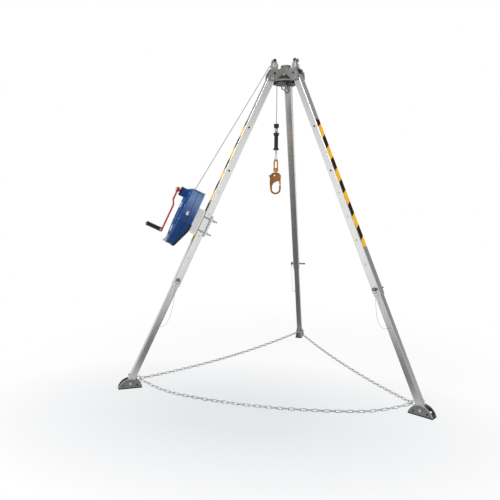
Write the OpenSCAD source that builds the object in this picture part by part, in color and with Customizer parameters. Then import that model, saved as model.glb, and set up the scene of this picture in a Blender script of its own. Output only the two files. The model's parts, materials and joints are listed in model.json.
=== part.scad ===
// Rescue tripod with a leg-mounted retrieval winch, snap hook line and base chain.
// Millimetres. +Z is up, the floor is z = 0, the back leg points along +Y.

/* [Legs] */
// Angle of every leg from the vertical, degrees
leg_angle = 25.3; // [24:0.1:27]
// Distance along a leg from the head hinge to the shoe pivot
leg_len = 2182; // [2150:1:2220]
// Radius of the three head hinges from the middle of the tripod
hinge_r = 108; // [107:1:112]
// Width of the outer square leg tube
upper_w = 50; // [48:1:51]
// Wall of both leg tubes
tube_wall = 4; // [3.5:0.1:4.5]
// Gap on each side between the inner and the outer tube
tube_clear = 0.5; // [0.3:0.1:0.8]
// Corner radius of the outer tube
tube_round = 6; // [5:0.5:7]
// Distance from the head hinge to the first hole of the outer tube
hole_first = 355; // [340:1:370]
// Pitch of the adjusting holes
hole_pitch = 157; // [150:1:160]
// Length of outer tube below the lock pin
tube_tail = 40; // [30:1:60]
// Length of inner tube kept above the lock pin
inner_above = 694; // [680:1:705]

/* [Lock pins] */
// Diameter of a lock pin
pin_d = 12; // [10:0.5:13]
// Radial gap of a lock pin in its holes
pin_clear = 0.4; // [0.3:0.1:0.8]
// Length of pin that stands out of the far side of the tube
pin_out = 48; // [30:1:55]
// Diameter of the pin's pull knob
knob_d = 22; // [20:1:26]
// Diameter of the coated lanyard wire
lanyard_d = 2; // [2:0.2:3]

/* [Shoes] */
// Height of the shoe pivot above the floor
pivot_h = 34; // [33:1:36]
// Length of a shoe along its leg's direction
shoe_len = 148; // [140:1:156]
// Height of the shoe's half-round cheeks
shoe_h = 62; // [58:1:66]
// Thickness of a shoe cheek
shoe_t = 5; // [4:0.5:6]
// Thickness of the rubber sole
sole_t = 6; // [4:0.5:7]
// Diameter of the shoe bolts and head hinge bolts
bolt_d = 12; // [10:0.5:13]
// Radial running gap of a bolt in what turns on it
bolt_run = 0.05; // [0.02:0.01:0.1]

/* [Head] */
// Radius of the head's middle barrel
hub_r = 34; // [32:1:35]
// Height of the barrel above the hinges
hub_top = 97; // [90:1:104]
// Thickness of a leg cheek on the head
cheek_t = 10; // [8:0.5:12]
// Gap between a leg and each head cheek
cheek_clear = 1; // [0.6:0.1:1.5]
// Height of the head's lower face under the hinges
head_drop = 14; // [12:1:18]
// Thickness of the base plate
base_t = 6; // [5:0.5:8]
// Radius of the base plate
base_r = 88; // [84:1:92]
// Distance of each anchor eyebolt from the middle
anchor_r = 54; // [52:1:56]
// Wire diameter of an anchor eye
anchor_wire = 9; // [8:0.5:10]
// Middle diameter of an anchor eye
anchor_eye = 34; // [32:1:38]

/* [Pulleys] */
// Radius of each pulley axle from the middle of the tripod
pulley_r = 84; // [82:1:86]
// Height of the pulley axles above the hinges
pulley_z = 90; // [88:1:94]
// Flange radius of a pulley
pulley_flange = 28; // [26:1:29]
// Radius of the cable's middle on a pulley
pulley_pitch = 23; // [22:0.5:24]
// Width of a pulley
pulley_w = 18; // [16:1:20]
// Thickness of a bracket plate
bracket_t = 4; // [3:0.5:5]

/* [Winch] */
// Distance from the head hinge to the top of the winch housing
winch_top = 887; // [870:1:900]
// Length of the winch housing
winch_len = 376; // [366:1:390]
// Width of the winch housing
winch_w = 212; // [206:1:220]
// Depth of the winch housing
winch_deep = 86; // [84:1:92]
// Wall of the winch housing
shell_t = 4; // [3:0.5:5]
// Height of the clamp block between the leg and the back plate
block_h = 60; // [50:1:66]
// Length of the clamp block
block_len = 166; // [150:1:180]
// Distance between the two rows of clamp bolts
clamp_span = 94; // [80:1:110]
// Diameter of a clamp bolt
clamp_bolt_d = 10; // [8:0.5:10]
// Radius at which the cable leaves the drum
drum_r = 70; // [68:1:72]
// Tooth module of the winch gears
gear_m = 2; // [2:1:2]
// Teeth of the crank pinion
pinion_n = 20; // [20:1:20]
// Teeth of the drum gear
wheel_n = 82; // [82:1:82]
// Length of the crank arm
crank_len = 282; // [260:1:300]
// Length of the crank grip
grip_len = 98; // [85:1:110]
// Diameter of the crank grip
grip_d = 28; // [24:1:32]

/* [Line and hook] */
// Diameter of the steel cable
cable_d = 5; // [4.5:0.1:5.5]
// Height of the top of the line's stop collar above the floor
collar_z = 1721; // [1650:1:1730]
// Diameter of the stop collar
collar_d = 34; // [30:1:38]
// Length of the spool grip
spool_len = 113; // [100:1:125]
// Wire diameter of the swivel eye
eye_wire = 10; // [9:0.5:11]
// Thickness of the hook body
hook_t = 14; // [12:1:16]
// Outer radius of the hook's bowl
bowl_r = 36; // [34:1:38]
// Thickness of the bowl's bar
bowl_bar = 12; // [11:0.5:13]

/* [Chain] */
// Wire diameter of the chain
link_wire = 4.5; // [4:0.1:5]
// Inner length of a link
link_in = 34; // [32:0.5:36]
// Inner width of a link
link_gap = 9.4; // [9:0.1:10]
// Wire diameter of a foot eye
foot_wire = 6; // [5:0.5:6.5]
// Middle diameter of a foot eye
foot_eye = 26; // [24:1:28]
// Distance the front span lies out towards the front
front_bulge = 150; // [100:5:160]
// Sag of the two other spans
span_sag = 33; // [20:1:34]

/* [Hidden] */
$fn = 48;

LEFT = 0;
RIGHT = 1;
BACK = 2;
leg_az = [210, 330, 90];
// Side of the tube on which each lock pin's knob sits, and each hinge bolt's head
front_side = [1, -1, 1];

// Legs
half_u = upper_w / 2;
lower_w = upper_w - 2 * tube_wall - 2 * tube_clear;
half_l = lower_w / 2;
hole_rows = [0, 2, 3, 4, 5, 6, 7];
pin_x = hole_first + hole_pitch * 7;
upper_end = pin_x + tube_tail;
lower_top = pin_x - inner_above;
cap_x = -20;
pin_hole_r = pin_d / 2 + pin_clear;
run_r = bolt_d / 2 + bolt_run;
foot_r = hinge_r + leg_len * sin(leg_angle);
hinge_z = pivot_h + leg_len * cos(leg_angle);

// Foot eyes, measured in the leg's own frame
eye_up = 44;
eye_out = half_l + 4 + foot_eye / 2 + foot_wire / 2 - 1;
hook_on = foot_eye / 2;
eye_x = leg_len - eye_up;
// The corner link through each foot eye, and the places on it where the two spans pull
link_play = 0.5;
// Play of each span's end links in the corner links; the front span leaves at a steeper angle
tie_play = [1.7, 0.8, 0.8];
link_mid = (link_gap + link_wire) / 2;
corner_z = -eye_out - hook_on - link_gap / 2 + foot_wire / 2 + link_play;
tie_y = (link_in - link_gap) / 2 + link_mid * cos(60);
tie_z = corner_z - link_mid * sin(60);
tie_r = hinge_r + eye_x * sin(leg_angle) + tie_z * cos(leg_angle);
tie_up = hinge_z - eye_x * cos(leg_angle) + tie_z * sin(leg_angle);

// The origin is the middle of the footprint
link_out = link_gap + 2 * link_wire;
front_y = tie_r / 2 + tie_y * cos(30) + front_bulge + link_out / 2;
axis_y = -(foot_r + shoe_len / 2 - front_y) / 2;

// Head
cheek_in = half_u + cheek_clear;
cheek_out = cheek_in + cheek_t;
saddle_z = 58;
keeper_z = pulley_z + pulley_flange + 1.5 + 4;
keeper_d = 8;
plate_in = pulley_w / 2 + 2;
plate_out = plate_in + bracket_t;
// Gap round the cable in a pulley's groove
groove_gap = 0.6;

// Winch, in the left leg's frame: x along the leg, y sideways, z outwards
block_z = half_u;
back_z = block_z + block_h;
back_t = 6;
shell_z = back_z + back_t;
seam_z = shell_z + winch_deep / 2;
shell_end = shell_z + winch_deep;
winch_mid = winch_w / 2;
corner_r = 34;
toe_r = 26;
// Slanted cut along the housing's rear lower edge: its length along the leg and its depth at the end
slant_len = 121;
slant_deep = 38;
// Distance from the housing's top to the drum's axle
drum_down = 123;
drum_x = winch_top + drum_down;
// Back plate, its bent top and the raised panel of the housing
back_len = 252;
back_w = 140;
ear_w = 184;
panel_len = 190;
panel_w = 96;
panel_mid = 150;
gear_gap = gear_m * (pinion_n + wheel_n) / 2;
crank_y = -50;
crank_x = drum_x - sqrt(gear_gap * gear_gap - crank_y * crank_y);
mesh_dir = atan2(crank_y, crank_x - drum_x);
line_z = shell_z + 43;
spool_w = 30;
shaft_r = 9;
gear_z = line_z + spool_w / 2 + 6;
gear_t = 8;
boss_r = 30;
boss_h = 44;
crank_z = shell_end + boss_h + 10;
block_x = winch_top + 88;
clamp_x = block_x + (block_len - clamp_span) / 2;
clamp_y = half_u + clamp_bolt_d / 2 + 3;

// Cable from the drum's top side to the head pulley, in the left leg's frame
pul_x = (pulley_r - hinge_r) * sin(leg_angle) - pulley_z * cos(leg_angle);
pul_z = (pulley_r - hinge_r) * cos(leg_angle) + pulley_z * sin(leg_angle);
exit_x = winch_top - 8;
run_dx = exit_x - pul_x;
run_dz = line_z - pul_z;
run_tilt = atan2(run_dz, run_dx) - asin(pulley_pitch / norm([run_dx, run_dz]));
touch_x = pul_x - pulley_pitch * sin(run_tilt);
touch_z = pul_z + pulley_pitch * cos(run_tilt);
run_start = [exit_x, -drum_r, line_z];
run_end = [touch_x, 0, touch_z];
wrap_from = leg_angle + run_tilt;
// Each bend of the cable is a ball that covers the ends of the two runs that meet there
cable_lap = 0.6;
wrap_lap = 1.5;
// Angle on the pulley by which the drop starts clear of the run
wrap_gap = 1.5;

// Line and hook, on the vertical through the cable's drop
drop_r = pulley_r - pulley_pitch;
sleeve_z = collar_z - 24 - 31;
spool_z = sleeve_z - 4 - spool_len;
ferrule_z = spool_z - 28;
bow_r = 11;
bow_z = ferrule_z - 35;
eye_bar = bow_z - bow_r + 3 + eye_wire / 2 + 0.6;
eye_half = 12.5;
eye_top = eye_bar - eye_half;
eye_base = eye_top - 50;
stem_r = 5;
hook_top = eye_base - 22;
bowl_z = hook_top - 111;
hook_turn = 159;
// Turn of the thimble and of the swivel eye about the line
thimble_turn = 45;
eye_turn = 60;

// Places in the frames of the head, the legs and the hook line
module head() translate([0, axis_y, hinge_z]) children();
module head_leg(i) head() rotate([0, 0, leg_az[i]]) children();
module leg(i) head_leg(i) translate([hinge_r, 0, 0]) rotate([0, 90 - leg_angle, 0]) children();
module foot(i) translate([0, axis_y, 0]) rotate([0, 0, leg_az[i]]) translate([foot_r, 0, 0]) children();
module hook_line() translate([0, axis_y, 0]) rotate([0, 0, leg_az[LEFT]]) translate([drop_r, 0, 0])
  rotate([0, 0, hook_turn]) children();

// Lies along x from a to b with its drawing in the y-z plane
module along_x(a, b) translate([a, 0, 0]) rotate([90, 0, 90]) linear_extrude(b - a) children();
// Lies along y from a to b with its drawing in the x-z plane
module along_y(a, b) translate([0, b, 0]) rotate([90, 0, 0]) linear_extrude(b - a) children();
// A round bar along y
module bar_y(r, a, b) translate([0, b, 0]) rotate([90, 0, 0]) cylinder(r = r, h = b - a);
// A round bar along x
module bar_x(r, a, b) translate([a, 0, 0]) rotate([0, 90, 0]) cylinder(r = r, h = b - a);
// A six-sided nut or head along z
module hex(across, h) cylinder(r = across / sqrt(3), h = h, $fn = 6);
// A square with round corners
module soft_square(w, r) {
  square([w - 2 * r, w], center = true);
  square([w, w - 2 * r], center = true);
  for (x = [-1, 1], y = [-1, 1]) translate([x * (w / 2 - r), y * (w / 2 - r)]) circle(r);
}
// A rectangle with round corners
module soft_rect(a, b, r) {
  square([a - 2 * r, b], center = true);
  square([a, b - 2 * r], center = true);
  for (x = [-1, 1], y = [-1, 1]) translate([x * (a / 2 - r), y * (b / 2 - r)]) circle(r);
}
// Outline through round corners, given as [x, y, r] against the clock
function edge_side(p, q) = let (d = [q[0] - p[0], q[1] - p[1]], l = norm(d), s = asin((q[2] - p[2]) / l),
  a = atan2(d[1], d[0]) - 90 - s) [cos(a), sin(a)];
function outline_points(c) = [for (i = [0 : len(c) - 1]) let (p = c[i], q = c[(i + 1) % len(c)], n = edge_side(p, q))
  each [[p[0] + p[2] * n[0], p[1] + p[2] * n[1]], [q[0] + q[2] * n[0], q[1] + q[2] * n[1]]]];
module soft_outline(c) {
  polygon(outline_points(c));
  for (p = c) translate([p[0], p[1]]) circle(p[2]);
}

// Head

module head_casting() color([0.56, 0.57, 0.56]) head() difference() {
  union() {
    difference() {
      rotate_extrude() polygon([[hub_r - 6, 38], [50, 38], [82, -5], [89, -7], [89, -head_drop - 3], [78, -head_drop - 3],
        [45, 31], [hub_r - 6, 31]]);
      for (i = [0 : 2]) rotate([0, 0, leg_az[i]]) translate([hub_r + 4, -cheek_in - cheek_t / 2, -head_drop - 9])
        cube([70, 2 * cheek_in + cheek_t, 70]);
    }
    translate([0, 0, -head_drop - 4]) cylinder(r = hub_r, h = head_drop + hub_top + 4);
    for (i = [0 : 2], s = [0, 1]) rotate([0, 0, leg_az[i]]) mirror([0, s, 0]) along_y(cheek_in, cheek_out)
      polygon([[14, -head_drop - 2], [hinge_r + 19, -head_drop - 2], [hinge_r + 25, -4], [hinge_r + 21, 34],
        [hinge_r + 5, saddle_z], [58, saddle_z], [46, hub_top - 22], [14, hub_top - 8]]);
  }
  translate([0, 0, -head_drop - 10]) cylinder(r = hinge_r + 60, h = 10);
  for (i = [0 : 2]) rotate([0, 0, leg_az[i]]) {
    translate([hinge_r, 0, 0]) bar_y(run_r, -60, 60);
    translate([hinge_r - 18, 0, 35]) bar_y(8, -60, 60);
    if (i != BACK) for (x = [64, 104], y = [-1, 1]) translate([x, y * (cheek_in + cheek_t / 2), saddle_z - 16])
      cylinder(r = 3, h = 20);
  }
  for (a = [30, 150, 270]) rotate([0, 0, a]) {
    translate([24, 0, -head_drop - 1]) cylinder(r = 3, h = 17);
    translate([0, 0, 26]) bar_x(3, 44, 70);
  }
  translate([0, 0, -head_drop - 1]) cylinder(r = 13, h = head_drop + hub_top + 2);
}

module head_base_plate() color([0.07, 0.07, 0.075]) head() translate([0, 0, -head_drop - base_t]) difference() {
  cylinder(r = base_r, h = base_t);
  for (i = [0 : 2]) rotate([0, 0, leg_az[i]]) {
    translate([68, -cheek_in, -1]) cube([60, 2 * cheek_in, base_t + 2]);
    if (i != BACK) translate([drop_r, 0, -1]) cylinder(r = 10, h = base_t + 2);
  }
  for (a = [90, 270]) rotate([0, 0, a]) translate([anchor_r, 0, -1]) cylinder(r = 6.1, h = base_t + 2);
  for (a = [30, 150, 270]) rotate([0, 0, a]) translate([24, 0, -1]) cylinder(r = 3.2, h = base_t + 2);
  translate([0, 0, -1]) cylinder(r = 13, h = base_t + 2);
}

// Button head screw pointing down, its seat at z = 0
module button_screw(l) {
  cylinder(r = 6, h = 3.4);
  translate([0, 0, -l]) cylinder(r = 2.9, h = l + 1);
}

module head_screws() color([0.8, 0.81, 0.82]) head() {
  for (a = [30, 150, 270]) rotate([0, 0, a]) {
    translate([24, 0, -head_drop - base_t]) rotate([180, 0, 0]) button_screw(18);
    translate([63.6, 0, 26]) rotate([0, 90, 0]) button_screw(12);
  }
  for (i = [LEFT, RIGHT]) rotate([0, 0, leg_az[i]]) for (x = [64, 104], y = [-1, 1])
    translate([x, y * (cheek_in + cheek_t / 2), saddle_z + bracket_t + 1]) button_screw(18);
}

// Bolt along y with its head at the front side and a nut at the far side
module through_bolt(r, half, head_r, head_h, nut_h, side) mirror([0, side > 0 ? 0 : 1, 0]) {
  bar_y(r, -half - nut_h - 2, half + 1);
  bar_y(head_r, half, half + head_h);
  translate([0, -half - nut_h, 0]) rotate([-90, 0, 0]) hex(1.75 * head_r, nut_h);
}

module leg_hinge_bolts() color([0.85, 0.86, 0.87]) for (i = [0 : 2]) head_leg(i) translate([hinge_r, 0, 0])
  through_bolt(bolt_d / 2, cheek_out, 10, 6, 8, front_side[i]);

module bracket_one() {
  difference() {
    union() {
      translate([58, -cheek_out, saddle_z]) cube([52, 2 * cheek_out, bracket_t + 1]);
      translate([48, -cheek_in + 2, saddle_z]) cube([68, 2 * cheek_in - 4, bracket_t + 1]);
      for (s = [0, 1]) mirror([0, s, 0]) along_y(plate_in, plate_out) {
        polygon([[60, saddle_z + 2], [108, saddle_z + 2], [pulley_r + 13, pulley_z + 14], [pulley_r + 13, keeper_z - 2],
          [pulley_r - 13, keeper_z - 2], [pulley_r - 13, pulley_z + 14]]);
        translate([pulley_r, keeper_z - 2]) circle(13);
      }
    }
    translate([54, -plate_in, saddle_z - 1]) cube([57, 2 * plate_in, bracket_t + 3]);
    translate([pulley_r, 0, pulley_z]) bar_y(6 + bolt_run, -30, 30);
    translate([pulley_r, 0, keeper_z]) bar_y(keeper_d / 2 + 0.1, -30, 30);
    for (x = [64, 104], y = [-1, 1]) translate([x, y * (cheek_in + cheek_t / 2), saddle_z - 1])
      cylinder(r = 3.2, h = bracket_t + 3);
  }
}

module pulley_brackets() color([0.62, 0.63, 0.62]) for (i = [LEFT, RIGHT]) head_leg(i) bracket_one();

module pulley_bolts() color([0.04, 0.04, 0.045]) for (i = [LEFT, RIGHT]) head_leg(i) {
  translate([pulley_r, 0, pulley_z]) through_bolt(6, plate_out, 9, 5, 6, front_side[i]);
  translate([pulley_r, 0, keeper_z]) through_bolt(keeper_d / 2, plate_out, 7, 6, 5, front_side[i]);
}

module pulley_wheel(i) head_leg(i) translate([pulley_r, 0, pulley_z]) rotate([90, 0, 0]) rotate_extrude()
  difference() {
    union() {
      translate([6 + bolt_run, -pulley_w / 2 - 1]) square([6, pulley_w + 2]);
      translate([10, -pulley_w / 2 + 4]) square([8, pulley_w - 8]);
      translate([17, -pulley_w / 2]) square([pulley_flange - 17, pulley_w]);
    }
    translate([pulley_pitch + 0.2, 0]) circle(cable_d / 2 + groove_gap);
    polygon([[pulley_pitch, -cable_d / 2 - groove_gap], [pulley_flange + 1, -pulley_w / 2 + 2.4],
      [pulley_flange + 1, pulley_w / 2 - 2.4], [pulley_pitch, cable_d / 2 + groove_gap]]);
  }

module pulley_left() color([0.83, 0.84, 0.85]) pulley_wheel(LEFT);
module pulley_right() color([0.83, 0.84, 0.85]) pulley_wheel(RIGHT);

module anchor_eyebolts() color([0.75, 0.76, 0.77]) head() for (a = [90, 270]) rotate([0, 0, a])
  translate([anchor_r, 0, -head_drop - base_t]) {
    translate([0, 0, -anchor_eye / 2 - 14]) rotate([0, 0, a == 90 ? 55 : 0]) rotate([0, 90, 0])
      rotate_extrude() translate([anchor_eye / 2, 0]) circle(anchor_wire / 2);
    translate([0, 0, -15]) cylinder(r = 6, h = base_t + 28);
    translate([0, 0, -5]) cylinder(r = 10, h = 5);
    translate([0, 0, base_t]) hex(19, 10);
  }

// Legs

module upper_tube(i) leg(i) difference() {
  along_x(cap_x, upper_end) difference() {
    soft_square(upper_w, tube_round);
    soft_square(upper_w - 2 * tube_wall, tube_round - tube_wall + 1);
  }
  bar_y(run_r, -40, 40);
  for (k = hole_rows) translate([hole_first + hole_pitch * k, 0, 0]) bar_y(pin_hole_r, -40, 40);
}

module upper_tube_left() color([0.86, 0.87, 0.86]) upper_tube(LEFT);
module upper_tube_right() color([0.86, 0.87, 0.86]) upper_tube(RIGHT);
module upper_tube_back() color([0.86, 0.87, 0.86]) upper_tube(BACK);

module leg_cap(i) leg(i) {
  intersection() {
    translate([cap_x, 0, 0]) bar_y(half_u, -half_u, half_u);
    translate([cap_x - 40, -40, -40]) cube([40, 80, 80]);
  }
  along_x(cap_x - 1, cap_x + 12) soft_square(upper_w - 2 * tube_wall, tube_round - tube_wall + 1);
}

module leg_cap_left() color([0.05, 0.05, 0.05]) leg_cap(LEFT);
module leg_cap_right() color([0.05, 0.05, 0.05]) leg_cap(RIGHT);
module leg_cap_back() color([0.05, 0.05, 0.05]) leg_cap(BACK);

module lower_tube(i) leg(i) difference() {
  along_x(lower_top, leg_len + 6) difference() {
    soft_square(lower_w, tube_round - 1);
    soft_square(lower_w - 2 * tube_wall, 2);
  }
  translate([pin_x, 0, 0]) bar_y(pin_hole_r, -40, 40);
  translate([leg_len, 0, 0]) bar_y(run_r, -40, 40);
  translate([eye_x, 0, -40]) cylinder(r = 5.1, h = 80);
  translate([pin_x + lanyard_run[i], 0, 0]) mirror([0, front_side[i] > 0 ? 0 : 1, 0]) bar_y(rivet_r, 5, 40);
}

module lower_tube_left() color([0.8, 0.81, 0.8]) lower_tube(LEFT);
module lower_tube_right() color([0.8, 0.81, 0.8]) lower_tube(RIGHT);
module lower_tube_back() color([0.8, 0.81, 0.8]) lower_tube(BACK);

module foot_eyebolt(i) leg(i) translate([eye_x, 0, 0]) {
  translate([0, 0, -eye_out]) rotate([90, 0, 0]) rotate_extrude() translate([foot_eye / 2, 0]) circle(foot_wire / 2);
  translate([0, 0, -half_l - 6]) cylinder(r = 5, h = lower_w + 18);
  translate([0, 0, -half_l - 4]) cylinder(r = 8, h = 4);
  translate([0, 0, half_l]) hex(16, 8);
}

module foot_eyebolt_left() color([0.7, 0.71, 0.72]) foot_eyebolt(LEFT);
module foot_eyebolt_right() color([0.7, 0.71, 0.72]) foot_eyebolt(RIGHT);
module foot_eyebolt_back() color([0.7, 0.71, 0.72]) foot_eyebolt(BACK);

// Shoe cheeks stand this far from the middle
shoe_in = half_l + 1.5;
shoe_out = shoe_in + shoe_t;
sole_top = sole_t + 4;
shoe_round = ((shoe_h - sole_t) * (shoe_h - sole_t) + shoe_len * shoe_len / 4) / (2 * (shoe_h - sole_t));

module shoe(i) foot(i) {
  difference() {
    for (s = [0, 1]) mirror([0, s, 0]) along_y(shoe_in, shoe_out) intersection() {
      translate([0, shoe_h - shoe_round]) circle(shoe_round, $fn = 96);
      translate([-shoe_len, sole_t]) square([2 * shoe_len, shoe_h]);
    }
    translate([0, 0, pivot_h]) bar_y(run_r, -60, 60);
    translate([0, 0, shoe_h - 9]) bar_y(4, -60, 60);
    for (x = [-42, 42]) translate([x, 0, sole_t + 15]) bar_y(6, -60, 60);
  }
  translate([-shoe_len / 2 + 1, -shoe_out, sole_t]) cube([shoe_len - 2, 2 * shoe_out, sole_top - sole_t]);
}

module shoe_left() color([0.74, 0.75, 0.74]) shoe(LEFT);
module shoe_right() color([0.74, 0.75, 0.74]) shoe(RIGHT);
module shoe_back() color([0.74, 0.75, 0.74]) shoe(BACK);

module sole_pad(i) foot(i) linear_extrude(sole_t) soft_rect(shoe_len + 2, 2 * shoe_out + 2, 4);

module sole_pad_left() color([0.06, 0.06, 0.06]) sole_pad(LEFT);
module sole_pad_right() color([0.06, 0.06, 0.06]) sole_pad(RIGHT);
module sole_pad_back() color([0.06, 0.06, 0.06]) sole_pad(BACK);

module shoe_bolt(i) foot(i) translate([0, 0, pivot_h])
  through_bolt(bolt_d / 2, shoe_out + 0.3, 9, 5, 7, front_side[i]);

module shoe_bolt_left() color([0.8, 0.81, 0.82]) shoe_bolt(LEFT);
module shoe_bolt_right() color([0.8, 0.81, 0.82]) shoe_bolt(RIGHT);
module shoe_bolt_back() color([0.8, 0.81, 0.82]) shoe_bolt(BACK);

// Lock pin with its pull knob and split ring
knob_y = half_u + 0.6;
ring_mid = 13;
ring_wire_r = 1.4;
ring_x = pin_x + ring_mid - 1;
ring_y = knob_y + 15;

module lock_pin(i) leg(i) mirror([0, front_side[i] > 0 ? 0 : 1, 0]) {
  translate([pin_x, 0, 0]) {
    difference() {
      union() {
        bar_y(pin_d / 2, -half_u - pin_out + 3, knob_y + 1);
        translate([0, -half_u - pin_out + 3, 0]) rotate([90, 0, 0]) cylinder(r1 = pin_d / 2, r2 = pin_d / 2 - 3, h = 3);
      }
      translate([0, -half_u - pin_out + 12, 0]) rotate([0, 90, 0]) cylinder(r = 1.6, h = 40, center = true);
    }
    bar_y(knob_d / 2 + 1, knob_y, knob_y + 4);
    bar_y(knob_d / 2 - 3, knob_y + 3, knob_y + 12);
    bar_y(knob_d / 2, knob_y + 11, knob_y + 20);
  }
  translate([ring_x, ring_y, 0]) rotate([90, 0, 0]) rotate_extrude() translate([ring_mid, 0]) circle(ring_wire_r);
}

module lock_pin_left() color([0.12, 0.12, 0.14]) lock_pin(LEFT);
module lock_pin_right() color([0.12, 0.12, 0.14]) lock_pin(RIGHT);
module lock_pin_back() color([0.12, 0.12, 0.14]) lock_pin(BACK);

// A round tube swept through the points of a route
function unit(v) = v / norm(v);
function spline(p, i, t) = let (n = len(p) - 1, a = p[max(i - 1, 0)], b = p[i], c = p[i + 1], d = p[min(i + 2, n)])
  0.5 * (2 * b + (c - a) * t + (2 * a - 5 * b + 4 * c - d) * t * t + (3 * b - a - 3 * c + d) * t * t * t);
function route(p, k) = concat([for (i = [0 : len(p) - 2], j = [0 : k - 1]) spline(p, i, j / k)], [p[len(p) - 1]]);
module swept(points, r, sides, ref) {
  n = len(points);
  ways = [for (i = [0 : n - 1]) unit(points[min(i + 1, n - 1)] - points[max(i - 1, 0)])];
  us = [for (w = ways) unit(cross(w, ref))];
  vs = [for (i = [0 : n - 1]) cross(ways[i], us[i])];
  skin = [for (i = [0 : n - 1], j = [0 : sides - 1]) points[i] + r * (cos(360 * j / sides) * us[i] + sin(360 * j / sides) * vs[i])];
  walls = [for (i = [0 : n - 2], j = [0 : sides - 1]) let (a = i * sides + j, b = i * sides + (j + 1) % sides)
    each [[a, b, b + sides], [a, b + sides, a + sides]]];
  ends = [[for (j = [sides - 1 : -1 : 0]) j], [for (j = [0 : sides - 1]) (n - 1) * sides + j]];
  polyhedron(points = skin, faces = [for (f = concat(walls, ends)) [for (k = [len(f) - 1 : -1 : 0]) f[k]]]);
}

// Distance from each lock pin to its lanyard's rivet
lanyard_run = [318, 238, 268];
rivet_r = 4;
function lanyard_route(i) = let (l = lanyard_run[i]) [[ring_x + ring_mid + ring_wire_r + 0.7, ring_y, 0],
  [pin_x + 0.3 * l, ring_y, -16], [pin_x + 0.55 * l, ring_y - 2, -38], [pin_x + 0.78 * l, ring_y - 5, -50],
  [pin_x + 0.95 * l, ring_y - 10, -42], [pin_x + l + 3, half_l + 5, -18], [pin_x + l, half_l + lanyard_d / 2 - 0.3, 2]];

module lanyard(i) leg(i) mirror([0, front_side[i] > 0 ? 0 : 1, 0]) {
  swept(route(lanyard_route(i), 3), lanyard_d / 2, 8, [0, 1, 0.2]);
  translate([pin_x + lanyard_run[i], 0, 0]) bar_y(rivet_r, half_l - 6, half_l);
}

module lanyard_left() color([0.62, 0.63, 0.64]) lanyard(LEFT);
module lanyard_right() color([0.62, 0.63, 0.64]) lanyard(RIGHT);
module lanyard_back() color([0.62, 0.63, 0.64]) lanyard(BACK);

// Winch

module winch_clamp() color([0.77, 0.78, 0.79]) leg(LEFT) {
  difference() {
    translate([block_x, -clamp_y - 10, block_z]) cube([block_len, 2 * clamp_y + 20, block_h]);
    translate([block_x - 1, -half_u + 2, block_z + 10]) cube([block_len + 2, upper_w - 4, block_h - 20]);
    for (x = [0, clamp_span], y = [-1, 1]) translate([clamp_x + x, y * clamp_y, block_z - 1])
      cylinder(r = clamp_bolt_d / 2 + 0.2, h = block_h + 2);
    for (x = [0, clamp_span], y = [-1, 1]) translate([clamp_x + x, y * clamp_y, back_z - 9]) cylinder(r = 9, h = 10);
    for (k = [0 : 12], y = [-1, 1]) translate([block_x + 8 + k * 12, y * (clamp_y + 10), block_z + 12])
      rotate([0, 0, 45]) translate([-1.5, -1.5, 0]) cube([3, 3, block_h - 18]);
  }
  difference() {
    translate([block_x + 10, -clamp_y - 10, -half_u - 9]) cube([block_len - 20, 2 * clamp_y + 20, 9]);
    for (x = [0, clamp_span], y = [-1, 1]) translate([clamp_x + x, y * clamp_y, -half_u - 20])
      cylinder(r = clamp_bolt_d / 2 + 0.2, h = 30);
  }
}

module clamp_bolts() color([0.45, 0.46, 0.47]) leg(LEFT) for (x = [0, clamp_span], y = [-1, 1])
  translate([clamp_x + x, y * clamp_y, 0]) {
    translate([0, 0, -half_u - 46]) cylinder(r = clamp_bolt_d / 2, h = half_u + 46 + back_z - 8);
    translate([0, 0, back_z - 9]) cylinder(r = 8, h = 7);
    translate([0, 0, -half_u - 17]) hex(16, 8);
  }

module winch_back_plate() color([0.6, 0.61, 0.62]) leg(LEFT) difference() {
  union() {
    translate([winch_top - 6, -back_w / 2, back_z]) cube([back_len, back_w, back_t]);
    translate([winch_top - 6, -ear_w / 2, back_z]) cube([5, ear_w, winch_deep - 4]);
  }
  translate([0, -drum_r, line_z]) bar_x(8, winch_top - 20, winch_top + 10);
  translate([drum_x, 0, back_z - 1]) cylinder(r = shaft_r + 3, h = back_t + 2);
}

function housing_corners(inset) = [
  [winch_top + corner_r, -winch_mid + corner_r, corner_r - inset],
  [winch_top + 205, -winch_mid + corner_r, corner_r - inset],
  [winch_top + winch_len - toe_r, -30, toe_r - inset],
  [winch_top + winch_len - toe_r, 30, toe_r - inset],
  [winch_top + 205, winch_mid - corner_r, corner_r - inset],
  [winch_top + corner_r, winch_mid - corner_r, corner_r - inset]];

// What lies on the front side of the slanted cut, moved in by inset
module slant_side(inset) {
  m = slant_deep / slant_len;
  low = [winch_top - 60, winch_top + winch_len + 60];
  cut = [for (x = low) shell_z + (x - winch_top - winch_len + slant_len) * m + inset * sqrt(1 + m * m)];
  along_y(-winch_w, winch_w) polygon([[low[0], cut[0]], [low[1], cut[1]], [low[1], shell_end + 60], [low[0], shell_end + 60]]);
}

// Hollow half of the housing, open at one side
module half_shell(z0, z1, floor_low) difference() {
  intersection() {
    translate([0, 0, z0]) linear_extrude(z1 - z0) soft_outline(housing_corners(0));
    slant_side(0);
  }
  intersection() {
    translate([0, 0, floor_low ? z0 + shell_t : z0 - 1]) linear_extrude(z1 - z0 - shell_t + 1)
      soft_outline(housing_corners(shell_t));
    slant_side(shell_t);
  }
}

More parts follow.
